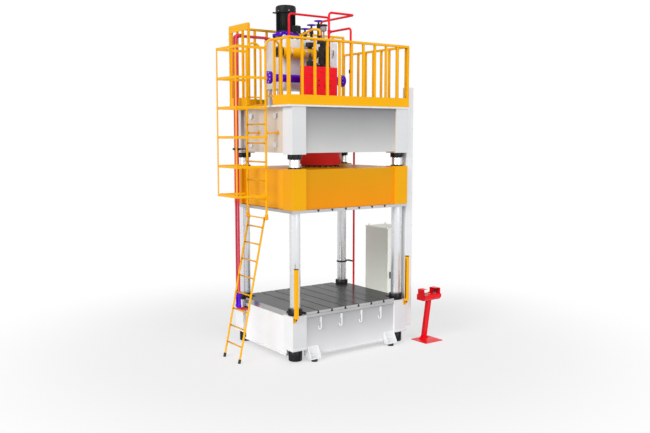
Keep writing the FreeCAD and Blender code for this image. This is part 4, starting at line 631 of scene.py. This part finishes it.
def screws(name, places, axis, radius, form=CAP_SCREW, finish=black_steel, body="press"):
    """A group of like screws as one piece."""
    mesh = bmesh.new()
    for place in places:
        screw(mesh, place, axis, radius, form)
    piece(name, mesh, finish, body)


print("forms:", len(CAP_SCREW), "points for a cap screw and", len(HEX_HEAD), "for a bolt")

# %% [markdown]
# The gland under the main cylinder holds the packing against full oil pressure, so it has a close ring of
# big cap screws. Each guide bush is held by eight small ones and carries a rubber wiper, which keeps grit on
# the column from being dragged into the bush.

# %% Gland, bushes and ring nut
GLAND_CIRCLE, LOCK_CIRCLE, BUSH_CIRCLE = 0.352, 0.378, 0.110     # radii of the rings of screws
WIPER = ((0.0955, 0.0), (0.0955, 0.010), (0.0965, 0.012), (0.1005, 0.004), (0.1015, 0.0))
gland_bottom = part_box("cylinder_gland")[0].z
screws("gland_cap_screws", circle_of((0, 0, gland_bottom), Z_AXIS, GLAND_CIRCLE, 20), -Z_AXIS, 0.016)
ring_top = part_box("cylinder_ring_nut")[1].z
screws("ring_nut_lock_screws", circle_of((0, 0, ring_top), Z_AXIS, LOCK_CIRCLE, 6, HALF_OF_6), Z_AXIS, 0.014)
columns = []
for name in nodes:
    if name.startswith("column_") and name != "column_nuts":
        low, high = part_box(name)
        columns.append(((low.x + high.x) / 2, (low.y + high.y) / 2))
bush_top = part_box("slide_bushes")[1].z
bush_screws = []
wipers = bmesh.new()
for x, y in columns:
    bush_screws += circle_of((x, y, bush_top), Z_AXIS, BUSH_CIRCLE, 8, HALF_OF_8)
    lathe(wipers, (x, y, bush_top), Z_AXIS, WIPER, FINE_AROUND)
screws("bush_cap_screws", bush_screws, Z_AXIS, 0.006, body="slide")
piece("column_wipers", wipers, pad_rubber, "slide")

# %% [markdown]
# The purple suction line is flanged: two plates squeeze a gasket between them, and a ring of bolts pulls
# them together, with the heads on one side and the nuts on the other. The same kind of bolt holds the caps
# of the oil cooler and the foot of the pump motor.

# %% Flanges of the suction line and the filling valve
MANIFOLD_Y, MANIFOLD_Z = -0.130, 5.035
PLATE, GASKET = 0.030, 0.004
PAIR = 2 * PLATE + GASKET
GASKET_RING = ((0.071, 0.0), (0.106, 0.0), (0.106, GASKET), (0.071, GASKET))
FLANGE_CIRCLE, HEAD_CIRCLE, FOOT_CIRCLE, FOOT_PLATE = 0.090, 0.108, 0.160, 0.035
line_low, line_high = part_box("suction_manifold")
heads, ends, gaskets = [], [], bmesh.new()
for x in (line_low.x, line_high.x - PAIR):
    heads += circle_of((x, MANIFOLD_Y, MANIFOLD_Z), X_AXIS, FLANGE_CIRCLE, 8, HALF_OF_8)
    ends += circle_of((x + PAIR, MANIFOLD_Y, MANIFOLD_Z), X_AXIS, FLANGE_CIRCLE, 8, HALF_OF_8)
    lathe(gaskets, (x + PLATE, MANIFOLD_Y, MANIFOLD_Z), X_AXIS, GASKET_RING, FINE_AROUND)
screws("flange_bolt_heads", heads, -X_AXIS, 0.0115, HEX_HEAD, zinc)
screws("flange_nuts", ends, X_AXIS, 0.0115, HEX_HEAD, zinc)
piece("flange_gaskets", gaskets, pad_rubber, "press")
valve_low, valve_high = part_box("prefill_valve")
head_places = circle_of((0, 0, valve_high.z + PLATE), Z_AXIS, HEAD_CIRCLE, 8)
screws("filling_valve_bolts", head_places, Z_AXIS, 0.011, HEX_HEAD, zinc)
foot_places = circle_of((0, 0, valve_low.z + FOOT_PLATE), Z_AXIS, FOOT_CIRCLE, 12)
screws("filling_valve_foot_screws", foot_places, Z_AXIS, 0.013)

# %% [markdown]
# The pump motor hangs its fan under a cowl. Air is drawn in through a grille of rings sunk in its mouth,
# flows down between the cooling ribs and leaves at the foot. The purple plate carries the motor's weight
# and is bolted through six round feet to the lid of the tank.

# %% Motor
MOTOR_X, MOTOR_Y = -0.487, 0.440
GRILLE_RINGS, FIRST_RING, RING_PITCH, RING_DROP = 6, 0.042, 0.019, 0.009
RING = ((0.0, 0.0), (0.0, 0.005), (0.002, 0.007), (0.006, 0.007), (0.008, 0.005), (0.008, 0.0))
HUB = ((0.030, 0.0), (0.030, 0.012), (0.024, 0.016), (0.0, 0.017))
ARM_START, ARM_END, ARM_HALF = 0.020, 0.156, 0.006
MOUTH_DEPTH = 0.018
motor_axis = Vector((MOTOR_X, MOTOR_Y, 0))
mouth = motor_axis + Z_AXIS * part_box("drive_motor")[1].z
grille = bmesh.new()
for i in range(GRILLE_RINGS):
    inner = FIRST_RING + i * RING_PITCH
    lathe(grille, mouth - Z_AXIS * RING_DROP, Z_AXIS, [(inner + out, up) for out, up in RING], FINE_AROUND)
for i in range(4):
    arm = bmesh.new()
    slab(arm, (ARM_START, -ARM_HALF, -MOUTH_DEPTH), (ARM_END, ARM_HALF, -0.008), 0.002)
    bmesh.ops.rotate(arm, cent=(0, 0, 0), matrix=Matrix.Rotation(math.radians(45 + 90 * i), 3, "Z"),
                     verts=arm.verts)
    bmesh.ops.translate(arm, vec=mouth, verts=arm.verts)
    arm_data = bpy.data.meshes.new("arm")
    arm.to_mesh(arm_data)
    arm.free()
    grille.from_mesh(arm_data)
lathe(grille, mouth - Z_AXIS * MOUTH_DEPTH, Z_AXIS, HUB)
piece("fan_grille", grille, black_steel, "press")
COWL_DROP, COWL_CIRCLE, COWL_SINK = 0.105, 0.192, 0.001
cowl = bmesh.new()
for place in circle_of(mouth - Z_AXIS * COWL_DROP, Z_AXIS, COWL_CIRCLE, 6, math.radians(15)):
    outward = Vector((place.x - MOTOR_X, place.y - MOTOR_Y, 0)).normalized()
    screw(cowl, place - outward * COWL_SINK, outward, 0.008)
piece("cowl_screws", cowl, zinc)
PLATE_RISE, SHIELD_RISE = 0.045, 0.020
PLATE_CIRCLE, SHIELD_CIRCLE = 0.218, 0.173
plate_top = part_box("motor_flange")[0].z + PLATE_RISE
plate_bolts = circle_of((MOTOR_X, MOTOR_Y, plate_top), Z_AXIS, PLATE_CIRCLE, 6, HALF_OF_6)
screws("motor_plate_bolts", plate_bolts, Z_AXIS, 0.017, HEX_HEAD, zinc)
shield_bolts = circle_of((MOTOR_X, MOTOR_Y, plate_top + SHIELD_RISE), Z_AXIS, SHIELD_CIRCLE, 12)
screws("motor_shield_bolts", shield_bolts, -Z_AXIS, 0.0085, HEX_HEAD, zinc)
TERMINAL_TURN, LID_REACH, LID_HALF, LID_HEIGHTS = math.radians(-62), 0.278, 0.067, (5.920, 6.034)
box_way = Vector((math.cos(TERMINAL_TURN), math.sin(TERMINAL_TURN), 0))
box_side = Vector((-box_way.y, box_way.x, 0))
lid_corners = [motor_axis + box_way * LID_REACH + box_side * across + Z_AXIS * z
               for across in (-LID_HALF, LID_HALF) for z in LID_HEIGHTS]
screws("terminal_lid_screws", lid_corners, box_way, 0.006, finish=zinc)

# %% [markdown]
# The red block is one big steel forging drilled through in all directions. Each hole that was only needed
# to drill a passage is shut with a socket plug, and cartridge valves are held in by square covers with four
# cap screws. The pilot valves above have coils that shift their spools, most with a plug for the wires.

# %% Valve block and pilot valves
block_low, block_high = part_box("valve_block")
PLUG = ((0.0, 0.30), (0.46, 0.30, "hex"), (0.50, 0.70, "hex"), (0.56, 0.78), (0.90, 0.78), (1.0, 0.66),
        (1.0, 0.0))
PLUG_PLACES = ((0.16, 0.24), (0.16, 0.76), (0.50, 0.14), (0.50, 0.86), (0.84, 0.24), (0.84, 0.76))
PLUG_R, SIDE_PLUG_Y = 0.019, -0.525
plugs = bmesh.new()
width, height = block_high.x - block_low.x, block_high.z - block_low.z
for across, up in PLUG_PLACES:
    place = (block_low.x + across * width, block_low.y, block_low.z + up * height)
    screw(plugs, place, -Y_AXIS, PLUG_R, PLUG)
for up in (0.3, 0.7):
    screw(plugs, (block_low.x, SIDE_PLUG_Y, block_low.z + up * height), -X_AXIS, PLUG_R, PLUG)
piece("block_plugs", plugs, red_enamel, "press")
COVER_HALF, COVER_THICK, COVER_SCREW = 0.062, 0.022, 0.044
covers = bmesh.new()
cover_screws = []
cover_face = block_low.y - COVER_THICK
for across in (0.33, 0.67):
    x = block_low.x + across * width
    z = block_low.z + 0.5 * height
    slab(covers, (x - COVER_HALF, cover_face, z - COVER_HALF),
         (x + COVER_HALF, block_low.y, z + COVER_HALF), 0.004)
    cover_screws += [(x + dx, cover_face, z + dz) for dx in (-COVER_SCREW, COVER_SCREW)
                     for dz in (-COVER_SCREW, COVER_SCREW)]
piece("cartridge_covers", covers, red_enamel, "press")
screws("cover_cap_screws", cover_screws, -Y_AXIS, 0.010)
stack_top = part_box("valve_stack")[1].z
coils = bmesh.new()
COIL = ((0.0, 0.0), (0.024, 0.0), (0.026, 0.003), (0.026, 0.050), (0.024, 0.053), (0.012, 0.053),
        (0.012, 0.072), (0.010, 0.076), (0.0, 0.076))
for x, z in ((-0.275, 5.330), (-0.275, 5.470)):
    lathe(coils, (x, -0.570, z), -Y_AXIS, COIL)
    slab(coils, (x - 0.020, -0.616, z + 0.022), (x + 0.020, -0.580, z + 0.058), 0.003)
lathe(coils, (-0.225, -0.505, 5.690), X_AXIS, COIL)
slab(coils, (-0.215, -0.525, 5.712), (-0.180, -0.485, 5.745), 0.003)
lathe(coils, (-0.585, -0.505, 5.405), Z_AXIS, COIL)
piece("pilot_coils", coils, black_plastic, "press")
stack_screws = [(x, y, 5.275) for x in (-0.508, -0.422) for y in (-0.558, -0.452)]
stack_screws += [(x, y, stack_top) for x in (-0.383, -0.240) for y in (-0.550, -0.460)]
screws("pilot_cap_screws", stack_screws, Z_AXIS, 0.008, finish=zinc)

# %% [markdown]
# Steel tube is joined with unions: a hexagon nut pulls a cutting ring onto the tube, and the harder it is
# pulled the deeper it bites. So there is a nut wherever a pipe meets the tank, the block or the side of the
# frame. The nuts are black against the red tube.

# %% Pipe unions
UNION = ((0.0215, 0.0), (0.036, 0.0, "hex"), (0.038, 0.004, "hex"), (0.038, 0.032, "hex"), (0.034, 0.036),
         (0.027, 0.046), (0.0215, 0.048))
TANK_PORT = 5.790            # top of the welded ports on the lid
DECK_PIPE = (0.290, -0.560)  # the pipe that drops through the deck
unions = bmesh.new()
for x, y in ((-0.625, 0.120), (0.290, 0.120), (0.430, 0.585), (-0.370, 0.120)):
    lathe(unions, (x, y, TANK_PORT), Z_AXIS, UNION)
lathe(unions, (-0.370, -0.505, stack_top), Z_AXIS, UNION)
for z in (0.690, 4.250):
    lathe(unions, (1.258, 0.690, z), X_AXIS, UNION)
lathe(unions, (*DECK_PIPE, 4.530), Z_AXIS, UNION)
for y in (0.605, 0.695):
    lathe(unions, (-1.258, y, 0.700), -X_AXIS, UNION)
    lathe(unions, (-1.400, y, 5.830), X_AXIS, UNION)
piece("pipe_unions", unions, black_steel, "press")
clamp_bolts = [(-1.460, y, z + 0.038) for y in (0.565, 0.650, 0.735) for z in (4.505, 3.730)]
screws("clamp_bolts", clamp_bolts, Z_AXIS, 0.008, HEX_HEAD, zinc)

# %% [markdown]
# A tank needs a gauge for the oil level: a glass tube in a slotted steel cover between two hollow bolts.
# The oil shows amber behind it. Lifting eyes are welded to the lid, and a cooler is strapped to saddles on
# the front wall. Its caps come off to clean the tubes, so they are bolted.

# %% Tank gauge, lifting eyes and cooler straps
oil_amber = plastic("oil_amber", (176, 112, 24), 0.12)
TANK_FRONT = 0.080
GAUGE_X, GAUGE_Z0, GAUGE_Z1 = 0.351, 5.490, 5.640
GAUGE_HALF, GAUGE_SLOT, GAUGE_DEEP, GAUGE_END = 0.020, 0.011, 0.022, 0.026
end_face = TANK_FRONT - GAUGE_DEEP - 0.002
gauge = bmesh.new()
for x0, x1 in ((-GAUGE_HALF, -GAUGE_SLOT), (GAUGE_SLOT, GAUGE_HALF)):
    slab(gauge, (GAUGE_X + x0, TANK_FRONT - GAUGE_DEEP, GAUGE_Z0),
         (GAUGE_X + x1, TANK_FRONT, GAUGE_Z1), 0.002)
for z in (GAUGE_Z0, GAUGE_Z1 - GAUGE_END):
    slab(gauge, (GAUGE_X - GAUGE_HALF, end_face, z),
         (GAUGE_X + GAUGE_HALF, TANK_FRONT, z + GAUGE_END), 0.002)
    screw(gauge, (GAUGE_X, end_face, z + GAUGE_END / 2), -Y_AXIS, 0.010, HEX_HEAD)
piece("level_gauge", gauge, zinc)
GLASS = ((0.0, 0.0), (0.009, 0.0), (0.009, 0.098), (0.0, 0.098))
tube = bmesh.new()
lathe(tube, (GAUGE_X, TANK_FRONT - 0.011, GAUGE_Z0 + GAUGE_END), Z_AXIS, GLASS)
piece("gauge_tube", tube, oil_amber)
TANK_TOP, EYE_RISE = 5.780, 0.030
EYE, EYE_THICK, EYE_SEGMENTS, EYE_AROUND = 0.036, 0.011, 28, 12
tilts = [2 * math.pi * j / EYE_AROUND for j in range(EYE_AROUND + 1)]
EYE_FORM = [(EYE + EYE_THICK * math.cos(tilt), EYE_THICK * math.sin(tilt)) for tilt in tilts]
eyes = bmesh.new()
for x, y in [(x, y) for x in (-0.700, 0.400) for y in (0.160, 0.690)]:
    lathe(eyes, (x, y, TANK_TOP + EYE_RISE), Y_AXIS, EYE_FORM, EYE_SEGMENTS)
bmesh.ops.remove_doubles(eyes, verts=eyes.verts, dist=WELD_GAP)      # the last ring lies on the first
piece("tank_lifting_eyes", eyes, white_enamel, "press")
COOLER_Y, COOLER_Z, COOLER_R = -0.040, 5.508, 0.095
STRAP = ((0.0, 0.0), (0.004, 0.0), (0.005, 0.001), (0.005, 0.029), (0.004, 0.030), (0.0, 0.030))
CAP_CIRCLE, PORT_CIRCLE, PORT_RISE = 0.078, 0.060, 0.205
strap_ring = [(COOLER_R + out, along) for out, along in STRAP]
straps = bmesh.new()
for x in (-0.735, -0.415):
    lathe(straps, (x, COOLER_Y, COOLER_Z), X_AXIS, strap_ring, around=64)
piece("cooler_straps", straps, zinc)
cap_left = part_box("cooler_fittings")[0].x
for name, x, way in (("cooler_cap_bolts_left", cap_left, -X_AXIS),
                     ("cooler_cap_bolts_right", -0.140, X_AXIS)):
    cap_places = circle_of((x, COOLER_Y, COOLER_Z), X_AXIS, CAP_CIRCLE, 8)
    screws(name, cap_places, way, 0.008, HEX_HEAD, zinc)
port_places = circle_of((-0.270, COOLER_Y, COOLER_Z + PORT_RISE), Z_AXIS, PORT_CIRCLE, 6)
screws("cooler_port_screws", port_places, Z_AXIS, 0.008)

# %% [markdown]
# The gate valves are shut by hand: the wheel turns, the stem stays at one height. A nut keeps each wheel on.
# It is fixed to the stem, so it belongs to the press and not to the wheel.

# %% Nuts on the valve stems
STEM_NUT = ((0.0092, 0.0), (0.015, 0.0, "hex"), (0.015, 0.003, "hex"), (0.012, 0.0045), (0.0092, 0.0045))
WHEEL_GAP = 0.0005           # the wheel has to turn freely under its nut
stem_nuts = bmesh.new()
for number in (1, 2, 3):
    low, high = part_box("handwheel_" + str(number))
    centre = (low + high) / 2
    lathe(stem_nuts, (centre.x, centre.y, high.z + WHEEL_GAP), Z_AXIS, STEM_NUT)
piece("stem_nuts", stem_nuts, zinc)

# %% [markdown]
# People stand on the crown, so its deck is tread plate: rolled steel with a pattern of raised bars that
# point two ways and grip a shoe from every side. The bars are 2.5 mm high with sloping flanks. They stop
# short of the column nuts, the cylinder and the pipe that drops through the deck.

# %% Tread plate
deck_low, deck_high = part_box("platform_deck")
TREAD_PITCH, TREAD_LONG, TREAD_WIDE, TREAD_HIGH = 0.075, 0.036, 0.010, 0.0025
TREAD_START, TREAD_MARGIN = 0.09, 0.15      # to the first bar, and left bare at both edges together
BAR_FOOT = ((-1, 0), (-0.5, -1), (0.5, -1), (1, 0), (0.5, 1), (-0.5, 1))
BAR_CREST = ((-0.7, 0), (-0.4, -0.4), (0.4, -0.4), (0.7, 0), (0.4, 0.4), (-0.4, 0.4))
keep_clear = [(x, y, 0.175) for x, y in columns] + [(0.0, 0.0, 0.49), (*DECK_PIPE, 0.07)]
tread = bmesh.new()


def bar_ring(centre, tilt, outline):
    """One level of a bar, from its outline in shares of half the length and half the width."""
    way = Vector((math.cos(tilt), math.sin(tilt), 0))
    side = Vector((-way.y, way.x, 0))
    return [tread.verts.new(centre + way * (TREAD_LONG / 2 * a) + side * (TREAD_WIDE / 2 * b))
            for a, b in outline]


for i in range(int((deck_high.x - deck_low.x - TREAD_MARGIN) / TREAD_PITCH) + 1):
    for j in range(int((deck_high.y - deck_low.y - TREAD_MARGIN) / TREAD_PITCH) + 1):
        x = deck_low.x + TREAD_START + i * TREAD_PITCH
        y = deck_low.y + TREAD_START + j * TREAD_PITCH
        if any(math.hypot(x - cx, y - cy) < gap for cx, cy, gap in keep_clear):
            continue
        tilt = math.radians(45 if (i + j) % 2 else -45)
        foot = bar_ring(Vector((x, y, deck_high.z)), tilt, BAR_FOOT)
        crest = bar_ring(Vector((x, y, deck_high.z + TREAD_HIGH)), tilt, BAR_CREST)
        tread.faces.new(crest)
        for k in range(6):
            tread.faces.new((foot[k], foot[(k + 1) % 6], crest[(k + 1) % 6], crest[k]))
print("tread bars:", len(tread.verts) // 12)
piece("tread_bars", tread, white_enamel, "press")

# %% [markdown]
# Every rung is welded into its stringer all the way round. The weld shows as a small rounded collar under
# the paint. The foot ladder stands on rubber shoes so that it doesn't skid on the floor.

# %% Ladder welds and shoes
WELD = ((1.0, -0.0045), (1.28, -0.0030), (1.42, 0.0), (1.28, 0.0030), (1.0, 0.0045))
RUNG_R, STRINGER_R, RAIL_R = 0.014, 0.020, 0.018


def weld_collar(mesh, place, way):
    """The weld round one end of a rung."""
    lathe(mesh, place, way, [(RUNG_R * r, h) for r, h in WELD], around=20)


upper_low, upper_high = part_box("ladder_upper")
near, far = upper_low.y + 2 * STRINGER_R, upper_high.y - 2 * STRINGER_R
ladder_x = upper_low.x + STRINGER_R
RUNGS, RUNG_STEP = 6, 0.330
collars = bmesh.new()
for i in range(RUNGS):
    z = deck_high.z - i * RUNG_STEP
    weld_collar(collars, (ladder_x, near, z), Y_AXIS)
    weld_collar(collars, (ladder_x, far, z), -Y_AXIS)
piece("ladder_welds", collars, yellow_enamel, "press")
PIVOT_Z, FOOT_X, FOOT_NEAR, FOOT_FAR = 2.545, -2.055, -0.415, 0.125
LOWER_RUNGS, LOWER_STEP, LOWER_TOP = 8, 0.300, 2.380
lean = (FOOT_X - ladder_x) / PIVOT_Z
collars = bmesh.new()
for i in range(LOWER_RUNGS):
    z = LOWER_TOP - i * LOWER_STEP
    x = ladder_x + lean * (PIVOT_Z - z)
    weld_collar(collars, (x, FOOT_NEAR + RAIL_R, z), Y_AXIS)
    weld_collar(collars, (x, FOOT_FAR - RAIL_R, z), -Y_AXIS)
piece("foot_ladder_welds", collars, yellow_enamel, "foot_ladder")
SHOE_LONG = 0.075
SHOE = ((RAIL_R, 0.0), (0.023, 0.001), (0.025, 0.006), (0.025, SHOE_LONG), (0.0, SHOE_LONG))
down = Vector((lean, 0, -1)).normalized()
shoes = bmesh.new()
for y in (FOOT_NEAR, FOOT_FAR):
    lathe(shoes, Vector((FOOT_X, y, 0.0)) - down * SHOE_LONG, down, SHOE)
for vert in shoes.verts:
    vert.co.z = max(vert.co.z, 0.0)      # cut level with the floor
piece("ladder_shoes", shoes, pad_rubber, "foot_ladder")

# %% [markdown]
# The light curtain guards the operator: a row of infrared beams runs from post to post, and a hand that
# breaks one stops the slide. The beams leave through a dark red window along the inner side of each post.
# Black caps close the ends, and the lower one lets the cable in.

# %% Light curtain windows and end caps
curtain_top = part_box("light_curtains")[1].z
POST_X, POST_Y, POST_HALF, POST_FOOT = 1.280, -1.075, 0.030, 0.835
WINDOW_HALF, WINDOW_END, CAP_HALF, CAP_HIGH = 0.0135, 0.042, POST_HALF + 0.002, 0.014
LOWER_CAP = ((0.016, 0.0), (0.016, 0.010, "hex"), (0.016, 0.022, "hex"), (0.012, 0.026), (0.012, 0.034),
             (0.0, 0.034))
window_red = plastic("window_red", (70, 8, 12), 0.1)
windows, caps = bmesh.new(), bmesh.new()
for side in (-1, 1):
    inner, middle = side * (POST_X - POST_HALF), side * POST_X
    x0, x1 = sorted((inner + side * 0.003, inner + side * 0.008))
    slab(windows, (x0, POST_Y - WINDOW_HALF, POST_FOOT + WINDOW_END),
         (x1, POST_Y + WINDOW_HALF, curtain_top - WINDOW_END), 0.001)
    slab(caps, (middle - CAP_HALF, POST_Y - CAP_HALF, curtain_top),
         (middle + CAP_HALF, POST_Y + CAP_HALF, curtain_top + CAP_HIGH), 0.003)
    lathe(caps, (middle, POST_Y, POST_FOOT - CAP_HIGH), -Z_AXIS, LOWER_CAP)
piece("curtain_windows", windows, window_red, "press")
piece("curtain_caps", caps, black_plastic, "press")
BRACKET_FACE = -1.0295
bracket_screws = [(side * POST_X + dx, BRACKET_FACE, z) for side in (-1, 1)
                  for dx in (-0.022, 0.022) for z in (0.765, 0.800)]
screws("curtain_bracket_screws", bracket_screws, -Y_AXIS, 0.006)

# %% [markdown]
# The cable duct runs from the bed to the platform with a lid that lifts off, held by quarter-turn screws
# along both edges. The cabinet breathes through pressed louvres near the top of the side that faces away
# from the press. Four studs on its roof take the eyes for a crane, and a small lock sits in the door.

# %% Duct screws, cabinet louvres, lifting studs and lock
DUCT_START, DUCT_STEP = 0.12, 0.62
duct_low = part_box("cable_duct")[0]
duct_screws = [(x, duct_low.y, duct_low.z + DUCT_START + i * DUCT_STEP)
               for x in (1.355, 1.480) for i in range(8)]
screws("duct_lid_screws", duct_screws, -Y_AXIS, 0.007, finish=zinc)
CASE_RIGHT, LOUVRE_START = 2.300, 1.62
LOUVRES, LOUVRE_PITCH, LOUVRE_DEEP, LOUVRE_HIGH = 9, 0.026, 0.010, 0.016
louvres = bmesh.new()
for i in range(LOUVRES):
    z = LOUVRE_START + i * LOUVRE_PITCH
    for y0, y1 in ((0.20, 0.40), (0.46, 0.66)):
        lip = CASE_RIGHT + LOUVRE_DEEP
        corners = [(CASE_RIGHT, y0, z + LOUVRE_HIGH), (CASE_RIGHT, y1, z + LOUVRE_HIGH),
                   (lip, y1 - 0.008, z), (lip, y0 + 0.008, z),
                   (CASE_RIGHT, y0, z - 0.002), (CASE_RIGHT, y1, z - 0.002)]
        a, b, c, d, e, f = [louvres.verts.new(v) for v in corners]
        for face in ((a, b, c, d), (d, c, f, e), (a, d, e), (b, f, c), (a, e, f, b)):
            louvres.faces.new(face)
piece("cabinet_louvres", louvres, cabinet_coat, "press")
STUD = ((0.018, 0.0), (0.018, 0.006), (0.010, 0.010), (0.008, 0.020), (0.013, 0.024), (0.013, 0.036),
        (0.0, 0.040))
LOCK = ((0.010, 0.0), (0.010, 0.004), (0.008, 0.006), (0.0, 0.006))
roof_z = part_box("cabinet_body")[1].z
roof = bmesh.new()
for x in (1.80, 2.25):
    for y in (0.13, 0.73):
        lathe(roof, (x, y, roof_z), Z_AXIS, STUD)
piece("cabinet_lifting_studs", roof, zinc)
lock = bmesh.new()
lathe(lock, (1.810, 0.049, 1.040), -Y_AXIS, LOCK)
piece("door_lock", lock, zinc, "door")

# %% [markdown]
# Both palm buttons must be pushed at once, one with each hand, before the slide comes down, and cowls keep
# a sleeve or an elbow from pressing one. Round each mushroom lies a flat collar that says with its colour
# what the button does: grey for run, yellow for stop. It stays clear of the mushroom that is pushed in.
# Four small screws hold the panel down at its corners.

# %% Pedestal collars and panel screws
PANEL_TOP, PANEL_EDGE_X, PANEL_EDGE_Y = 0.925, 0.016, 0.014
COLLAR_INNER, COLLAR_OUTER, COLLAR_THICK = 0.76, 1.12, 0.009      # radii in shares of the mushroom's
stop_yellow = plastic("stop_yellow", (240, 190, 0), 0.3)
run_collars, stop_collar = bmesh.new(), bmesh.new()
for name, mesh in (("palm_button_left", run_collars), ("palm_button_right", run_collars),
                   ("emergency_stop", stop_collar)):
    low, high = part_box(name)
    radius = (high.x - low.x) / 2
    inner, outer = radius * COLLAR_INNER, radius * COLLAR_OUTER
    lathe(mesh, ((low.x + high.x) / 2, (low.y + high.y) / 2, PANEL_TOP), Z_AXIS,
          ((inner, 0.0), (outer, 0.0), (outer, 0.005), (outer - 0.004, COLLAR_THICK), (inner, COLLAR_THICK)),
          around=40)
piece("run_collars", run_collars, grey_plastic, "press")
piece("stop_collar", stop_collar, stop_yellow, "press")
head_low, head_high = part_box("pedestal_head")
panel_screws = [(x, y, PANEL_TOP) for x in (head_low.x + PANEL_EDGE_X, head_high.x - PANEL_EDGE_X)
                for y in (head_low.y + PANEL_EDGE_Y, head_high.y - PANEL_EDGE_Y)]
screws("panel_screws", panel_screws, Z_AXIS, 0.005, finish=zinc)
